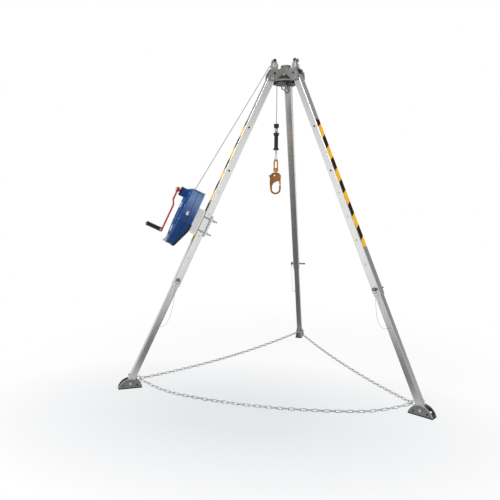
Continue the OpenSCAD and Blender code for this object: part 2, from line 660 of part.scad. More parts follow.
module housing_rear() color([0.12, 0.2, 0.5]) leg(LEFT) difference() {
  union() {
    half_shell(shell_z, seam_z, true);
    translate([drum_x, 0, shell_z + 1]) cylinder(r = 18, h = 13);
    translate([crank_x, crank_y, shell_z + 1]) cylinder(r = 14, h = 13);
  }
  translate([0, -drum_r, line_z]) bar_x(6, winch_top - 10, winch_top + 60);
  translate([drum_x, 0, shell_z + shell_t]) cylinder(r = shaft_r + bolt_run, h = 40);
  translate([crank_x, crank_y, shell_z + shell_t]) cylinder(r = 7 + bolt_run, h = 40);
}

module housing_front() color([0.14, 0.24, 0.58]) leg(LEFT) difference() {
  union() {
    half_shell(seam_z, shell_end, false);
    translate([crank_x, crank_y, shell_end - 1]) cylinder(r = boss_r, h = boss_h + 1);
    translate([drum_x, 0, shell_end - 13]) cylinder(r = 18, h = 10);
    translate([winch_top + panel_mid, 0, shell_end - 1]) linear_extrude(7) soft_rect(panel_len, panel_w, 18);
  }
  translate([0, -drum_r, line_z]) bar_x(6, winch_top - 10, winch_top + 60);
  translate([drum_x, 0, shell_end - 20]) cylinder(r = shaft_r + bolt_run, h = 20 - shell_t);
  translate([crank_x, crank_y, shell_end - 20]) cylinder(r = 7 + bolt_run, h = boss_h + 30);
}

module drum() color([0.55, 0.56, 0.57]) leg(LEFT) translate([drum_x, 0, 0]) {
  translate([0, 0, shell_z + shell_t + 0.5]) cylinder(r = shaft_r, h = winch_deep - 2 * shell_t - 1);
  translate([0, 0, line_z - spool_w / 2]) cylinder(r = 42, h = spool_w);
  for (z = [line_z - spool_w / 2 - 4, line_z + spool_w / 2]) translate([0, 0, z]) cylinder(r = 86, h = 4);
}

module drum_cable() color([0.66, 0.67, 0.68]) leg(LEFT) translate([drum_x, 0, line_z - spool_w / 2 + 0.4]) difference() {
  cylinder(r = drum_r - 3, h = spool_w - 0.8);
  translate([0, 0, -1]) cylinder(r = 42.4, h = spool_w + 2);
}

// Straight-flanked spur gear with n teeth, one tooth pointing along turn
module spur(n, h, turn) linear_extrude(h) union() {
  circle(r = gear_m * n / 2 - 1.15 * gear_m, $fn = 120);
  for (k = [0 : n - 1]) rotate([0, 0, turn + 360 * k / n]) polygon([
    [gear_m * n / 2 - 1.5 * gear_m, -0.48 * gear_m * 1.57], [gear_m * n / 2, -0.42 * gear_m * 1.57],
    [gear_m * n / 2 + 0.85 * gear_m, -0.2 * gear_m * 1.57], [gear_m * n / 2 + 0.85 * gear_m, 0.2 * gear_m * 1.57],
    [gear_m * n / 2, 0.42 * gear_m * 1.57], [gear_m * n / 2 - 1.5 * gear_m, 0.48 * gear_m * 1.57]]);
}

module main_gear() color([0.5, 0.5, 0.48]) leg(LEFT) translate([drum_x, 0, gear_z]) difference() {
  spur(wheel_n, gear_t, mesh_dir);
  translate([0, 0, -1]) cylinder(r = shaft_r, h = gear_t + 2);
}

module crank_shaft() color([0.5, 0.5, 0.5]) leg(LEFT) translate([crank_x, crank_y, 0]) {
  translate([0, 0, shell_z + shell_t + 0.5]) cylinder(r = 7, h = crank_z + 18 - shell_z - shell_t);
  translate([0, 0, gear_z - 1]) spur(pinion_n, gear_t + 2, mesh_dir + 180 + 180 / pinion_n);
}

// Toothed lock ring round the drum's rear flange, held in the rear shell
module brake_ring() color([0.35, 0.35, 0.36]) leg(LEFT) translate([drum_x, 0, shell_z + shell_t]) difference() {
  cylinder(r = 96, h = 6);
  translate([0, 0, -1]) linear_extrude(8) for (k = [0 : 23]) rotate([0, 0, 15 * k])
    polygon([[0, -11], [78, -10.5], [88, 9], [0, 11]]);
  translate([crank_x - drum_x, crank_y, -1]) cylinder(r = 15, h = 8);
}

module carry_bracket() color([0.75, 0.76, 0.77]) leg(LEFT) translate([winch_top + winch_len, 0, shell_end]) {
  difference() {
    union() {
      translate([-50, -24, 0]) cube([48, 48, 5]);
      translate([-7, -24, 0.5]) cube([5, 48, 24]);
      for (y = [-1, 1]) translate([0, y * 20, 0]) along_y(-2, 2) polygon([[-34, 3], [-4, 3], [-4, 19]]);
    }
    translate([-34, 0, -1]) cylinder(r = 5, h = 8);
    translate([-10, 0, 14]) bar_x(6, 0, 12);
  }
  translate([-34, 0, 4]) hex(17, 7);
}

// Crank, hanging down along the leg at rest
arm_z = crank_z + 4;

module crank_arm() color([0.72, 0.05, 0.07]) leg(LEFT) difference() {
  union() {
    translate([crank_x, crank_y, crank_z]) cylinder(r = 17, h = 16);
    translate([crank_x, crank_y, arm_z]) linear_extrude(10) union() {
      translate([0, -10]) square([70, 20]);
    }
    translate([crank_x + 62, crank_y, 0]) along_y(-10, 10)
      polygon([[0, arm_z], [8, arm_z], [40, arm_z - 16], [40, arm_z - 6], [8, arm_z + 10], [0, arm_z + 10]]);
    translate([crank_x, crank_y, arm_z - 16]) linear_extrude(10) union() {
      translate([100, -10]) square([crank_len - 100, 20]);
      translate([crank_len, 0]) circle(13);
    }
    translate([crank_x + crank_len, crank_y, arm_z - 10]) cylinder(r = 6, h = grip_len + 14);
  }
  translate([crank_x, crank_y, crank_z - 1]) cylinder(r = 7, h = 30);
}

module crank_grip() color([0.05, 0.05, 0.05]) leg(LEFT) translate([crank_x + crank_len, crank_y, arm_z - 5])
  rotate_extrude() difference() {
    union() {
      translate([6 + bolt_run, 0]) square([grip_d / 2 - 6 - bolt_run, grip_len]);
      translate([6 + bolt_run, 0]) square([grip_d / 2 - 4, 6]);
      translate([6 + bolt_run, grip_len - 6]) square([grip_d / 2 - 4, 6]);
    }
    for (k = [0 : 8]) translate([grip_d / 2 + 0.6, 13 + 9 * k]) circle(2);
  }

// Line

// Round bar from one point to another
module bar(a, b, r) translate(a) rotate([0, acos((b[2] - a[2]) / norm(b - a)), atan2(b[1] - a[1], b[0] - a[0])])
  cylinder(r = r, h = norm(b - a));

module cable_run() color([0.7, 0.71, 0.72]) leg(LEFT) {
  bar(run_start + cable_lap * unit(run_end - run_start), run_end, cable_d / 2);
  translate([0, -drum_r, line_z]) bar_x(cable_d / 2, exit_x + cable_lap, drum_x - 2);
  translate(run_start) sphere(cable_d / 2 + 0.2);
}

module cable_drop() color([0.7, 0.71, 0.72]) {
  head_leg(LEFT) translate([pulley_r, 0, pulley_z]) rotate([90, 0, 0]) rotate([0, 0, wrap_from + wrap_gap])
    rotate_extrude(angle = 180 - wrap_from - wrap_gap - wrap_lap) translate([pulley_pitch, 0]) circle(cable_d / 2);
  hook_line() {
    translate([0, 0, ferrule_z + 27]) cylinder(r = cable_d / 2, h = hinge_z + pulley_z - ferrule_z - 27 - cable_lap);
    translate([0, 0, hinge_z + pulley_z]) sphere(cable_d / 2 + 0.2);
  }
}

module line_grip() color([0.05, 0.045, 0.045]) hook_line() {
  difference() {
    union() {
      translate([0, 0, collar_z - 24]) cylinder(r = collar_d / 2, h = 24);
      translate([0, 0, spool_z]) rotate_extrude() polygon([[0, 0], [19, 0], [19, 5], [13, 17], [13, spool_len - 22],
        [18, spool_len - 14], [19, spool_len], [0, spool_len]]);
    }
    translate([0, 0, spool_z - 1]) cylinder(r = cable_d / 2 + 0.4, h = 200);
  }
}

module line_fittings() color([0.78, 0.79, 0.8]) hook_line() {
  difference() {
    translate([0, 0, sleeve_z]) rotate_extrude() polygon([[0, 0], [8, 0], [11.5, 5], [11.5, 22], [8, 30], [0, 30]]);
    translate([0, 0, sleeve_z - 1]) cylinder(r = cable_d / 2 + 0.1, h = 40);
  }
  translate([0, 0, ferrule_z]) cylinder(r = 7.5, h = 27);
  rotate([0, 0, thimble_turn]) {
    for (s = [-1, 1]) bar([s * 3, 0, ferrule_z + 2], [s * bow_r * cos(18), 0, bow_z + bow_r * sin(18)], 3);
    translate([0, 0, bow_z]) rotate([90, 0, 0]) rotate([0, 0, 162]) rotate_extrude(angle = 216)
      translate([bow_r, 0]) circle(3);
    for (s = [-1, 1]) translate([s * bow_r * cos(18), 0, bow_z + bow_r * sin(18)]) sphere(3.5);
  }
}

module swivel_eye() color([0.72, 0.52, 0.22]) hook_line() rotate([0, 0, eye_turn]) difference() {
  union() {
    translate([0, 0, eye_top]) rotate([90, 0, 90]) rotate_extrude(angle = 180) translate([eye_half, 0]) circle(eye_wire / 2);
    for (s = [-1, 1]) translate([0, s * eye_half, eye_base]) cylinder(r = eye_wire / 2, h = eye_top - eye_base);
    translate([0, 0, eye_base - 16]) cylinder(r = 17, h = 17);
  }
  translate([0, 0, eye_base - 20]) cylinder(r = stem_r + bolt_run, h = 40);
}

// Hook: a flat forging with a bowl, a gate on its right and a lock lever on its left
gate_pin = [23, bowl_z + 72];
nose = [bowl_r - bowl_bar / 2, bowl_z + 26];
lock_pin_at = [-22, bowl_z + 84];

module hook_body() color([0.6, 0.4, 0.16]) hook_line() difference() {
  union() {
    along_y(-hook_t / 2, hook_t / 2) {
      difference() {
        translate([0, bowl_z]) circle(bowl_r);
        translate([0, bowl_z]) circle(bowl_r - bowl_bar);
        translate([-60, bowl_z]) square([120, 60]);
      }
      polygon([[-bowl_r, bowl_z - 0.5], [-bowl_r + bowl_bar, bowl_z - 0.5], [-22, bowl_z + 24],
        [-14, bowl_z + 38], [0, bowl_z + 47], [16, bowl_z + 55], [33, bowl_z + 60], [36, bowl_z + 90], [24, hook_top - 5], [12, hook_top], [-12, hook_top],
        [-26, hook_top - 5], [-37, bowl_z + 92], [-40, bowl_z + 40]]);
      translate([bowl_r - bowl_bar, bowl_z - 0.5]) square([bowl_bar, nose[1] - bowl_z - 4.1]);
      translate([nose[0], nose[1] - 4.6]) circle(bowl_bar / 2);
    }
    translate([0, 0, hook_top - 6]) cylinder(r = 13, h = 6.2);
    translate([0, 0, hook_top - 4]) cylinder(r = stem_r, h = 4 + 22 + 7);
    translate([0, 0, eye_base + 1.4]) cylinder(r = eye_half - eye_wire / 2 - 0.4, h = 6);
    translate([lock_pin_at[0], 0, lock_pin_at[1]]) bar_y(4, -hook_t / 2 - 5, hook_t / 2 + 5);
    translate([gate_pin[0], 0, gate_pin[1]]) bar_y(4, -hook_t / 2 - 2, hook_t / 2 + 2);
  }
  along_y(-5.4, 5.4) polygon([[1, bowl_z + 30], [1, bowl_z + 66], [10, bowl_z + 84], [50, bowl_z + 84], [50, bowl_z + 30]]);
  along_y(-hook_t, hook_t) translate([-8, bowl_z + 92]) circle(5);
}

module hook_gate() color([0.7, 0.5, 0.2]) hook_line() difference() {
  union() {
    along_y(-5, 5) soft_outline([[nose[0] + 1, nose[1] + 7, 5], [gate_pin[0] + 3, gate_pin[1], 8], [gate_pin[0] - 3, gate_pin[1], 7]]);
  }
  translate([gate_pin[0], 0, gate_pin[1]]) bar_y(4 + bolt_run, -20, 20);
}

module hook_lock() color([0.55, 0.36, 0.14]) hook_line() difference() {
  union() {
    translate([lock_pin_at[0] - 21, 0, lock_pin_at[1] + 4]) bar_y(4.2, -hook_t / 2 - 3.5, hook_t / 2 + 3.5);
    for (s = [0, 1]) mirror([0, s, 0]) along_y(hook_t / 2 + 0.5, hook_t / 2 + 3.5)
      soft_outline([[lock_pin_at[0] - 8, lock_pin_at[1] - 34, 6], [lock_pin_at[0] + 2, lock_pin_at[1], 9],
        [lock_pin_at[0] - 14, lock_pin_at[1] + 4, 6]]);
  }
  translate([lock_pin_at[0], 0, lock_pin_at[1]]) bar_y(4 + bolt_run, -30, 30);
}

// Base chain: three spans of long links hung between the foot eyes

// One link with an inner length of long, lying along x
module link(long) {
  run = long - link_gap;
  for (s = [0, 1]) mirror([s, 0, 0]) translate([run / 2, 0, 0]) rotate([0, 0, -90])
    rotate_extrude(angle = 180) translate([link_mid, 0]) circle(link_wire / 2, $fn = 24);
  for (y = [-link_mid, link_mid]) translate([0, y, 0]) rotate([0, 90, 0])
    cylinder(r = link_wire / 2, h = run, center = true, $fn = 24);
}

module corner_link(i) leg(i) translate([eye_x, 0, corner_z]) rotate([90, 0, 90]) link(link_in);

function tie(i, s) = [tie_r * cos(leg_az[i]) - s * tie_y * sin(leg_az[i]),
  axis_y + tie_r * sin(leg_az[i]) + s * tie_y * cos(leg_az[i]), tie_up];
floor_z = link_out / 2 + 0.6;
// Share of the front span that comes down from its foot eye to the floor
fall = 0.18;
function front_at(t) = let (a = tie(LEFT, 1), b = tie(RIGHT, -1), e = min(t, 1 - t), f = max(0, 1 - e / fall))
  [a[0] + (b[0] - a[0]) * t, a[1] - front_bulge * 4 * t * (1 - t), floor_z + (a[2] - floor_z) * f * f];
function side_at(i, j, t) = let (a = tie(i, -1), b = tie(j, 1)) a + (b - a) * t - [0, 0, span_sag * 4 * t * (1 - t)];
samples = 120;
function span(k) = [for (s = [0 : samples]) k == 0 ? front_at(s / samples)
  : k == 1 ? side_at(LEFT, BACK, s / samples) : side_at(BACK, RIGHT, s / samples)];
function sums(p) = [for (i = 0, l = 0; i < len(p); l = l + (i < len(p) - 1 ? norm(p[i + 1] - p[i]) : 0), i = i + 1) l];
function at_len(p, s, l, i = 1) = (i >= len(p) - 1 || s[i] >= l) ? p[i - 1] + (p[i] - p[i - 1]) * (l - s[i - 1]) / (s[i] - s[i - 1])
  : at_len(p, s, l, i + 1);

module chain(k) {
  p = span(k);
  s = sums(p);
  total = s[len(s) - 1];
  // A whole number of links fits the span, the first and the last standing upright
  room = total + link_wire + 2 * tie_play[k] - link_play;
  count = 2 * round((room / (link_in - link_play) - 1) / 2) + 1;
  step = room / count;
  ends = (step + link_play - link_wire) / 2 - tie_play[k];
  for (i = [0 : count - 1]) {
    l = ends + step * i;
    m = at_len(p, s, l);
    d = unit(at_len(p, s, l + 10) - at_len(p, s, l - 10));
    translate(m) rotate([0, -asin(d[2]), atan2(d[1], d[0])]) rotate([i % 2 == 0 ? 90 : 0, 0, 0]) link(step + link_play);
  }
}

module chain_front() color([0.6, 0.61, 0.62]) {
  chain(0);
  corner_link(RIGHT);
}
module chain_left() color([0.6, 0.61, 0.62]) {
  chain(1);
  corner_link(LEFT);
}
module chain_right() color([0.6, 0.61, 0.62]) {
  chain(2);
  corner_link(BACK);
}

head_casting();
head_base_plate();
head_screws();
leg_hinge_bolts();
pulley_brackets();
pulley_bolts();
pulley_left();
pulley_right();
anchor_eyebolts();
upper_tube_left();
upper_tube_right();
upper_tube_back();
leg_cap_left();
leg_cap_right();
leg_cap_back();
lower_tube_left();
lower_tube_right();
lower_tube_back();
foot_eyebolt_left();
foot_eyebolt_right();
foot_eyebolt_back();
shoe_left();
shoe_right();
shoe_back();
sole_pad_left();
sole_pad_right();
sole_pad_back();
shoe_bolt_left();
shoe_bolt_right();
shoe_bolt_back();
lock_pin_left();
lock_pin_right();
lock_pin_back();
lanyard_left();
lanyard_right();
lanyard_back();
winch_clamp();
clamp_bolts();
winch_back_plate();
housing_rear();
housing_front();
drum();
drum_cable();
main_gear();
crank_shaft();
brake_ring();
carry_bracket();
crank_arm();
crank_grip();
cable_run();
cable_drop();
line_fittings();
line_grip();
swivel_eye();
hook_body();
hook_gate();
hook_lock();
chain_front();
chain_left();
chain_right();
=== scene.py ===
"""Looks of a rescue tripod: finishes for its solids, wire rope, lanyards, base chain, tape and trim."""

import json
import math

import bmesh
import bpy
from mathutils import Matrix, Vector


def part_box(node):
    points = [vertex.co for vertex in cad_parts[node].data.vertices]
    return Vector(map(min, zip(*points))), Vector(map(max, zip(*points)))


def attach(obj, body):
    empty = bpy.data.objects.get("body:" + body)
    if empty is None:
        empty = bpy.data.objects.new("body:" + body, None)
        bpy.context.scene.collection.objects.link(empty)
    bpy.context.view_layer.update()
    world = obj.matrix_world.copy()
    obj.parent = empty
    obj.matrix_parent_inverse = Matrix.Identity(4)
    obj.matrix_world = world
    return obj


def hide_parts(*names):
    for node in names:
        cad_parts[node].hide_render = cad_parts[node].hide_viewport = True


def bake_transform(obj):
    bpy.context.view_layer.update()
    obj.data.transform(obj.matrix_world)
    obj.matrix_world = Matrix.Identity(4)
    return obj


bl_info = {
    "name": "Rescue tripod",
    "version": (1, 0, 0),
    "blender": (4, 5, 0),
    "location": "View3D > Sidebar > Tripod",
    "description": "Dresses the solids of a rescue tripod with a winch, a hook line and a base chain",
    "category": "Object",
}

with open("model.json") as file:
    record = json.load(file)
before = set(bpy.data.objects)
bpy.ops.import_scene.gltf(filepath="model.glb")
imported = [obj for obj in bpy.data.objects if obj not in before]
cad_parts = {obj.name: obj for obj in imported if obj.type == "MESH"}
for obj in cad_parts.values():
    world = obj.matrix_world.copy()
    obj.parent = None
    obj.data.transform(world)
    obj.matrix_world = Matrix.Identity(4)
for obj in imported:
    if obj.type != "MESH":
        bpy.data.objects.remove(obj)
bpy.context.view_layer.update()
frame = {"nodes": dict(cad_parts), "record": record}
JOINTS = {joint["name"]: joint for joint in frame["record"]["behaviour"]["joints"]}
LEGS = ("left", "right", "back")
# Side of each leg on which the knob of its lock pin sits
KNOB_SIDE = {"left": 1, "right": -1, "back": 1}
# Height of a shoe's pivot over the floor
PIVOT_H = 0.034
UP = Vector((0, 0, 1))
WHITE = (1.0, 1.0, 1.0)


# Places

def joint_axis(name):
    """Axis of a joint."""
    return Vector(JOINTS[name]["axis"])


def joint_spot(name):
    """Place of a joint."""
    return Vector(JOINTS[name]["pos_m"])


def axes_matrix(spot, x_axis, y_axis, z_axis):
    """Frame at a spot with three given axes."""
    return Matrix.Translation(spot) @ Matrix((x_axis, y_axis, z_axis)).transposed().to_4x4()


def leg_matrix(leg):
    """Frame of a leg: x runs down it, y sideways, z outwards, from the middle of its head hinge."""
    down = joint_axis("leg_slide_" + leg)
    side = joint_axis("leg_fold_" + leg)
    return axes_matrix(joint_spot("leg_fold_" + leg), down, side, down.cross(side))


def hinge_middle():
    """Middle of the three head hinges."""
    spots = [joint_spot("leg_fold_" + leg) for leg in LEGS]
    return (spots[0] + spots[1] + spots[2]) / 3


def head_matrix(leg):
    """Frame of the head turned to a leg: x points out over it, z is up, from the middle of the hinges."""
    side = joint_axis("leg_fold_" + leg)
    middle = hinge_middle()
    middle.z = joint_spot("leg_fold_" + leg).z
    return axes_matrix(middle, side.cross(UP), side, UP)


def foot_matrix(leg):
    """Frame of a foot: x outwards, y sideways, z up, from the floor under the shoe's pivot."""
    side = joint_axis("shoe_tilt_" + leg)
    spot = joint_spot("shoe_tilt_" + leg)
    spot.z -= PIVOT_H
    return axes_matrix(spot, side.cross(UP), side, UP)


# Sizes and colours that a user would change

def length(name, default, description):
    return bpy.props.FloatProperty(name=name, description=description, default=default, min=0.0,
                                   subtype="DISTANCE", unit="LENGTH")


def colour(name, default, description):
    return bpy.props.FloatVectorProperty(name=name, description=description, default=default, size=3,
                                         min=0.0, max=1.0, subtype="COLOR")


class TripodSizes(bpy.types.PropertyGroup):
    """Sizes of the drawn pieces"""

    rope_d: length("Wire rope", 0.005, "Diameter of the steel wire rope")
    rope_lay: length("Rope lay", 0.042, "Length in which a strand goes once round the rope")
    lanyard_d: length("Lanyard", 0.002, "Diameter of a lanyard's coated wire")
    link_wire: length("Link wire", 0.0045, "Wire diameter of the chain")
    link_gap: length("Link gap", 0.0094, "Inner width of a link")
    link_in: length("Link length", 0.034, "Inner length of a link")
    tape_w: length("Tape width", 0.040, "Width of the warning tape")
    tape_from: length("Tape top", 0.316, "Distance from the hinge to the top end of the tape")
    tape_to: length("Tape bottom", 1.192, "Distance from the hinge to the bottom end of the tape")
    tape_band: length("Tape band", 0.0778, "Length of one band of the tape")


class TripodColours(bpy.types.PropertyGroup):
    """Colours of the finishes"""

    leg: colour("Outer tubes", (0.92, 0.925, 0.905), "Clear anodised outer tubes of the legs")
    tube: colour("Inner tubes", (0.80, 0.805, 0.795), "Greyer inner tubes of the legs")
    shoe: colour("Shoes", (0.26, 0.265, 0.265), "Cheeks of the foot shoes")
    cast: colour("Casting", (0.26, 0.263, 0.25), "Grey head casting")
    zinc: colour("Zinc", (0.72, 0.73, 0.73), "Bright plated steel")
    galvanised: colour("Galvanised", (0.47, 0.48, 0.485), "Dull plated steel")
    black: colour("Black", (0.012, 0.012, 0.013), "Black steel and plastic")
    rubber: colour("Rubber", (0.020, 0.0155, 0.012), "Soles and grips")
    blue: colour("Blue coat", (0.018, 0.082, 0.300), "Winch housing")
    # Painted reflection: a pale colour painted into the top end of the winch's blue coat
    painted_sheen_blue: colour("Pale blue", (0.31, 0.49, 0.83), "Sheen at the top end of the winch housing")
    red: colour("Red enamel", (0.60, 0.009, 0.020), "Crank arm")
    gold: colour("Yellow chromate", (0.72, 0.36, 0.075), "Swivel eye and gate")
    copper: colour("Bronze chromate", (0.42, 0.19, 0.06), "Hook body and lock lever")
    yellow: colour("Tape yellow", (1.0, 0.52, 0.02), "Yellow bands of the tape")
    dark: colour("Tape black", (0.046, 0.015, 0.005), "Black bands of the tape")
    plate: colour("Blank plates", (0.78, 0.78, 0.76), "Bare plates on the winch")
    # Painted shade: the inside of the outer tubes is coloured near black
    bore: colour("Tube inside", (0.004, 0.004, 0.004), "Inside of the outer tubes")
    wire: colour("Lanyard coat", (0.33, 0.33, 0.32), "Coat of the lanyards' wire")


# Shader node groups and materials

def feed(tree, value, spot):
    """Links an input to another node's output, or sets it to a number or a colour."""
    if isinstance(value, bpy.types.NodeSocket):
        tree.links.new(value, spot)
    elif isinstance(value, (int, float)):
        spot.default_value = value
    else:
        spot.default_value = (*value, 1.0)


def noise_node(tree, vector, scale, detail, rough=0.55):
    """A noise texture read at a vector; gives its value."""
    node = tree.nodes.new("ShaderNodeTexNoise")
    node.inputs["Detail"].default_value = detail
    node.inputs["Roughness"].default_value = rough
    tree.links.new(vector, node.inputs["Vector"])
    feed(tree, scale, node.inputs["Scale"])
    return node.outputs["Fac"]


def math_node(tree, operation, first, second, clamp=False):
    """A math node on sockets or numbers; gives its output."""
    node = tree.nodes.new("ShaderNodeMath")
    node.operation = operation
    node.use_clamp = clamp
    feed(tree, first, node.inputs[0])
    feed(tree, second, node.inputs[1])
    return node.outputs[0]


def range_node(tree, value, from_low, from_high, to_low=0.0, to_high=1.0):
    """Maps a value from one range to another, clamped."""
    node = tree.nodes.new("ShaderNodeMapRange")
    node.inputs["From Min"].default_value = from_low
    node.inputs["From Max"].default_value = from_high
    node.inputs["To Min"].default_value = to_low
    node.inputs["To Max"].default_value = to_high
    tree.links.new(value, node.inputs["Value"])
    return node.outputs["Result"]


def length_node(tree, vector):
    """Length of a vector."""
    node = tree.nodes.new("ShaderNodeVectorMath")
    node.operation = "LENGTH"
    tree.links.new(vector, node.inputs[0])
    return node.outputs["Value"]


def mix_colour(tree, factor, low, high, blend="MIX"):
    """Mixes two colours, each a colour or a socket, by a number or a socket."""
    node = tree.nodes.new("ShaderNodeMix")
    node.data_type = "RGBA"
    node.blend_type = blend
    feed(tree, factor, node.inputs[0])
    feed(tree, low, node.inputs[6])
    feed(tree, high, node.inputs[7])
    return node.outputs[2]


def mix_shader(tree, factor, first, second):
    """Mixes two shaders by a socket."""
    node = tree.nodes.new("ShaderNodeMixShader")
    tree.links.new(factor, node.inputs["Fac"])
    tree.links.new(first, node.inputs[1])
    tree.links.new(second, node.inputs[2])
    return node.outputs["Shader"]


def group_start(name, numbers, outputs):
    """A new shader node group that reads a vector and named numbers, with its input and output nodes."""
    group = bpy.data.node_groups.new(name, "ShaderNodeTree")
    group.interface.new_socket(name="Vector", in_out="INPUT", socket_type="NodeSocketVector")
    for label, default in numbers.items():
        made = group.interface.new_socket(name=label, in_out="INPUT", socket_type="NodeSocketFloat")
        made.default_value = default
    for label in outputs:
        group.interface.new_socket(name=label, in_out="OUTPUT", socket_type="NodeSocketFloat")
    return group, group.nodes.new("NodeGroupInput"), group.nodes.new("NodeGroupOutput")


def make_mottle():
    """Soft patches and fine specks, both between 0 and 1."""
    group, start, end = group_start("mottle", {"Scale": 30.0}, ("Patches", "Specks"))
    vector = start.outputs["Vector"]
    scale = start.outputs["Scale"]
    patches = noise_node(group, vector, scale, detail=4.0)
    finer = math_node(group, "MULTIPLY", scale, 14.0)
    specks = noise_node(group, vector, finer, detail=2.0)
    group.links.new(range_node(group, patches, 0.33, 0.67), end.inputs["Patches"])
    group.links.new(range_node(group, specks, 0.3, 0.7), end.inputs["Specks"])
    return group


def make_streaks():
    """Long fine lines along the vector's x, as on drawn or brushed metal."""
    group, start, end = group_start("streaks", {"Fineness": 300.0}, ("Lines", "Broad"))
    squeeze = group.nodes.new("ShaderNodeMapping")
    squeeze.inputs["Scale"].default_value = (0.012, 1.0, 1.0)
    group.links.new(start.outputs["Vector"], squeeze.inputs["Vector"])
    vector = squeeze.outputs["Vector"]
    fineness = start.outputs["Fineness"]
    fine = noise_node(group, vector, fineness, detail=3.0, rough=0.7)
    coarser = math_node(group, "MULTIPLY", fineness, 0.16)
    broad = noise_node(group, vector, coarser, detail=2.0)
    group.links.new(range_node(group, fine, 0.3, 0.7), end.inputs["Lines"])
    group.links.new(range_node(group, broad, 0.3, 0.7), end.inputs["Broad"])
    return group


def make_scuffs():
    """Sparse thin scratches and worn spots, 1 where the surface is rubbed."""
    group, start, end = group_start("scuffs", {"Scale": 40.0, "Amount": 0.5}, ("Mask",))
    vector = start.outputs["Vector"]
    warp = noise_node(group, vector, start.outputs["Scale"], detail=5.0, rough=0.65)
    cells = group.nodes.new("ShaderNodeTexVoronoi")
    cells.feature = "DISTANCE_TO_EDGE"
    group.links.new(vector, cells.inputs["Vector"])
    group.links.new(start.outputs["Scale"], cells.inputs["Scale"])
    thin = range_node(group, cells.outputs["Distance"], 0.0, 0.02, 1.0, 0.0)
    scratches = math_node(group, "MULTIPLY", thin, range_node(group, warp, 0.56, 0.72))
    worn = math_node(group, "ADD", scratches, range_node(group, warp, 0.70, 0.76, 0.0, 0.6))
    rubbed = math_node(group, "MULTIPLY", worn, start.outputs["Amount"], True)
    group.links.new(rubbed, end.inputs["Mask"])
    return group


def make_dust():
    """Dust that settles on faces that look up."""
    group, start, end = group_start("dust", {"Amount": 0.3}, ("Mask",))
    geometry = group.nodes.new("ShaderNodeNewGeometry")
    split = group.nodes.new("ShaderNodeSeparateXYZ")
    group.links.new(geometry.outputs["Normal"], split.inputs["Vector"])
    upward = range_node(group, split.outputs["Z"], 0.35, 1.0)
    cloud = noise_node(group, start.outputs["Vector"], 22.0, detail=5.0)
    settled = math_node(group, "MULTIPLY", upward, range_node(group, cloud, 0.35, 0.7, 0.25, 1.0))
    film = math_node(group, "MULTIPLY", settled, start.outputs["Amount"], True)
    group.links.new(film, end.inputs["Mask"])
    return group


GROUP_MAKERS = {"mottle": make_mottle, "streaks": make_streaks, "scuffs": make_scuffs, "dust": make_dust}
GROUPS = {}


def place_group(tree, kind, vector, **values):
    """Puts a shared node group in a material and sets its inputs; gives its outputs."""
    if kind not in GROUPS:
        GROUPS[kind] = GROUP_MAKERS[kind]()
    node = tree.nodes.new("ShaderNodeGroup")
    node.node_tree = GROUPS[kind]
    tree.links.new(vector, node.inputs["Vector"])
    for name, value in values.items():
        node.inputs[name].default_value = value
    return node.outputs


def tint(base, by):
    """A colour made lighter or darker."""
    return tuple(min(1.0, part * by) for part in base)


def material_start(name, axes=None):
    """A material, its shader and the vector that its patterns read; axes turns the vector to a part."""
    mat = bpy.data.materials.new(name)
    mat.use_nodes = True
    tree = mat.node_tree
    vector = tree.nodes.new("ShaderNodeTexCoord").outputs["Object"]
    if axes is not None:
        turn = tree.nodes.new("ShaderNodeMapping")
        turn.inputs["Rotation"].default_value = axes.to_3x3().inverted().to_euler()
        tree.links.new(vector, turn.inputs["Vector"])
        vector = turn.outputs["Vector"]
    return mat, tree, tree.nodes["Principled BSDF"], vector


def mark(tree, vector, tone, hue, scale, amount):
    """A tone with scratches and rubbed spots of another colour."""
    scuffs = place_group(tree, "scuffs", vector, Scale=scale, Amount=amount)
    return mix_colour(tree, scuffs["Mask"], tone, hue)


def settle(tree, vector, tone, hue, amount):
    """A tone with dust on the faces that look up."""
    film = place_group(tree, "dust", vector, Amount=amount)
    return mix_colour(tree, film["Mask"], tone, hue)


def set_surface(tree, shader, tone, sheen, rough):
    """Feeds a shader its colour, and a roughness that follows a mask."""
    tree.links.new(tone, shader.inputs["Base Color"])
    tree.links.new(range_node(tree, sheen, 0.0, 1.0, *rough), shader.inputs["Roughness"])


def round_edges(tree, shader, radius, height, strength, distance):
    """Catches light along edges and adds a fine relief."""
    bevel = tree.nodes.new("ShaderNodeBevel")
    bevel.samples = 4
    bevel.inputs["Radius"].default_value = radius
    bump = tree.nodes.new("ShaderNodeBump")
    bump.inputs["Strength"].default_value = strength
    bump.inputs["Distance"].default_value = distance
    tree.links.new(height, bump.inputs["Height"])
    tree.links.new(bevel.outputs["Normal"], bump.inputs["Normal"])
    tree.links.new(bump.outputs["Normal"], shader.inputs["Normal"])


def drawn_metal(name, base, axes, metallic, rough=(0.24, 0.34), edge=0.0015):
    """Drawn or brushed metal with lines along the part."""
    mat, tree, shader, vector = material_start(name, axes)
    streaks = place_group(tree, "streaks", vector, Fineness=420.0)
    mottle = place_group(tree, "mottle", vector, Scale=9.0)
    tone = mix_colour(tree, streaks["Lines"], tint(base, 0.95), tint(base, 1.03))
    tone = mix_colour(tree, mottle["Patches"], tone, tint(base, 0.97))
    tone = mark(tree, vector, tone, tint(base, 0.72), scale=26.0, amount=0.2)
    tone = settle(tree, vector, tone, (0.52, 0.50, 0.46), amount=0.1)
    set_surface(tree, shader, tone, streaks["Broad"], rough)
    shader.inputs["Metallic"].default_value = metallic
    round_edges(tree, shader, edge, streaks["Lines"], strength=0.03, distance=0.0003)
    return mat


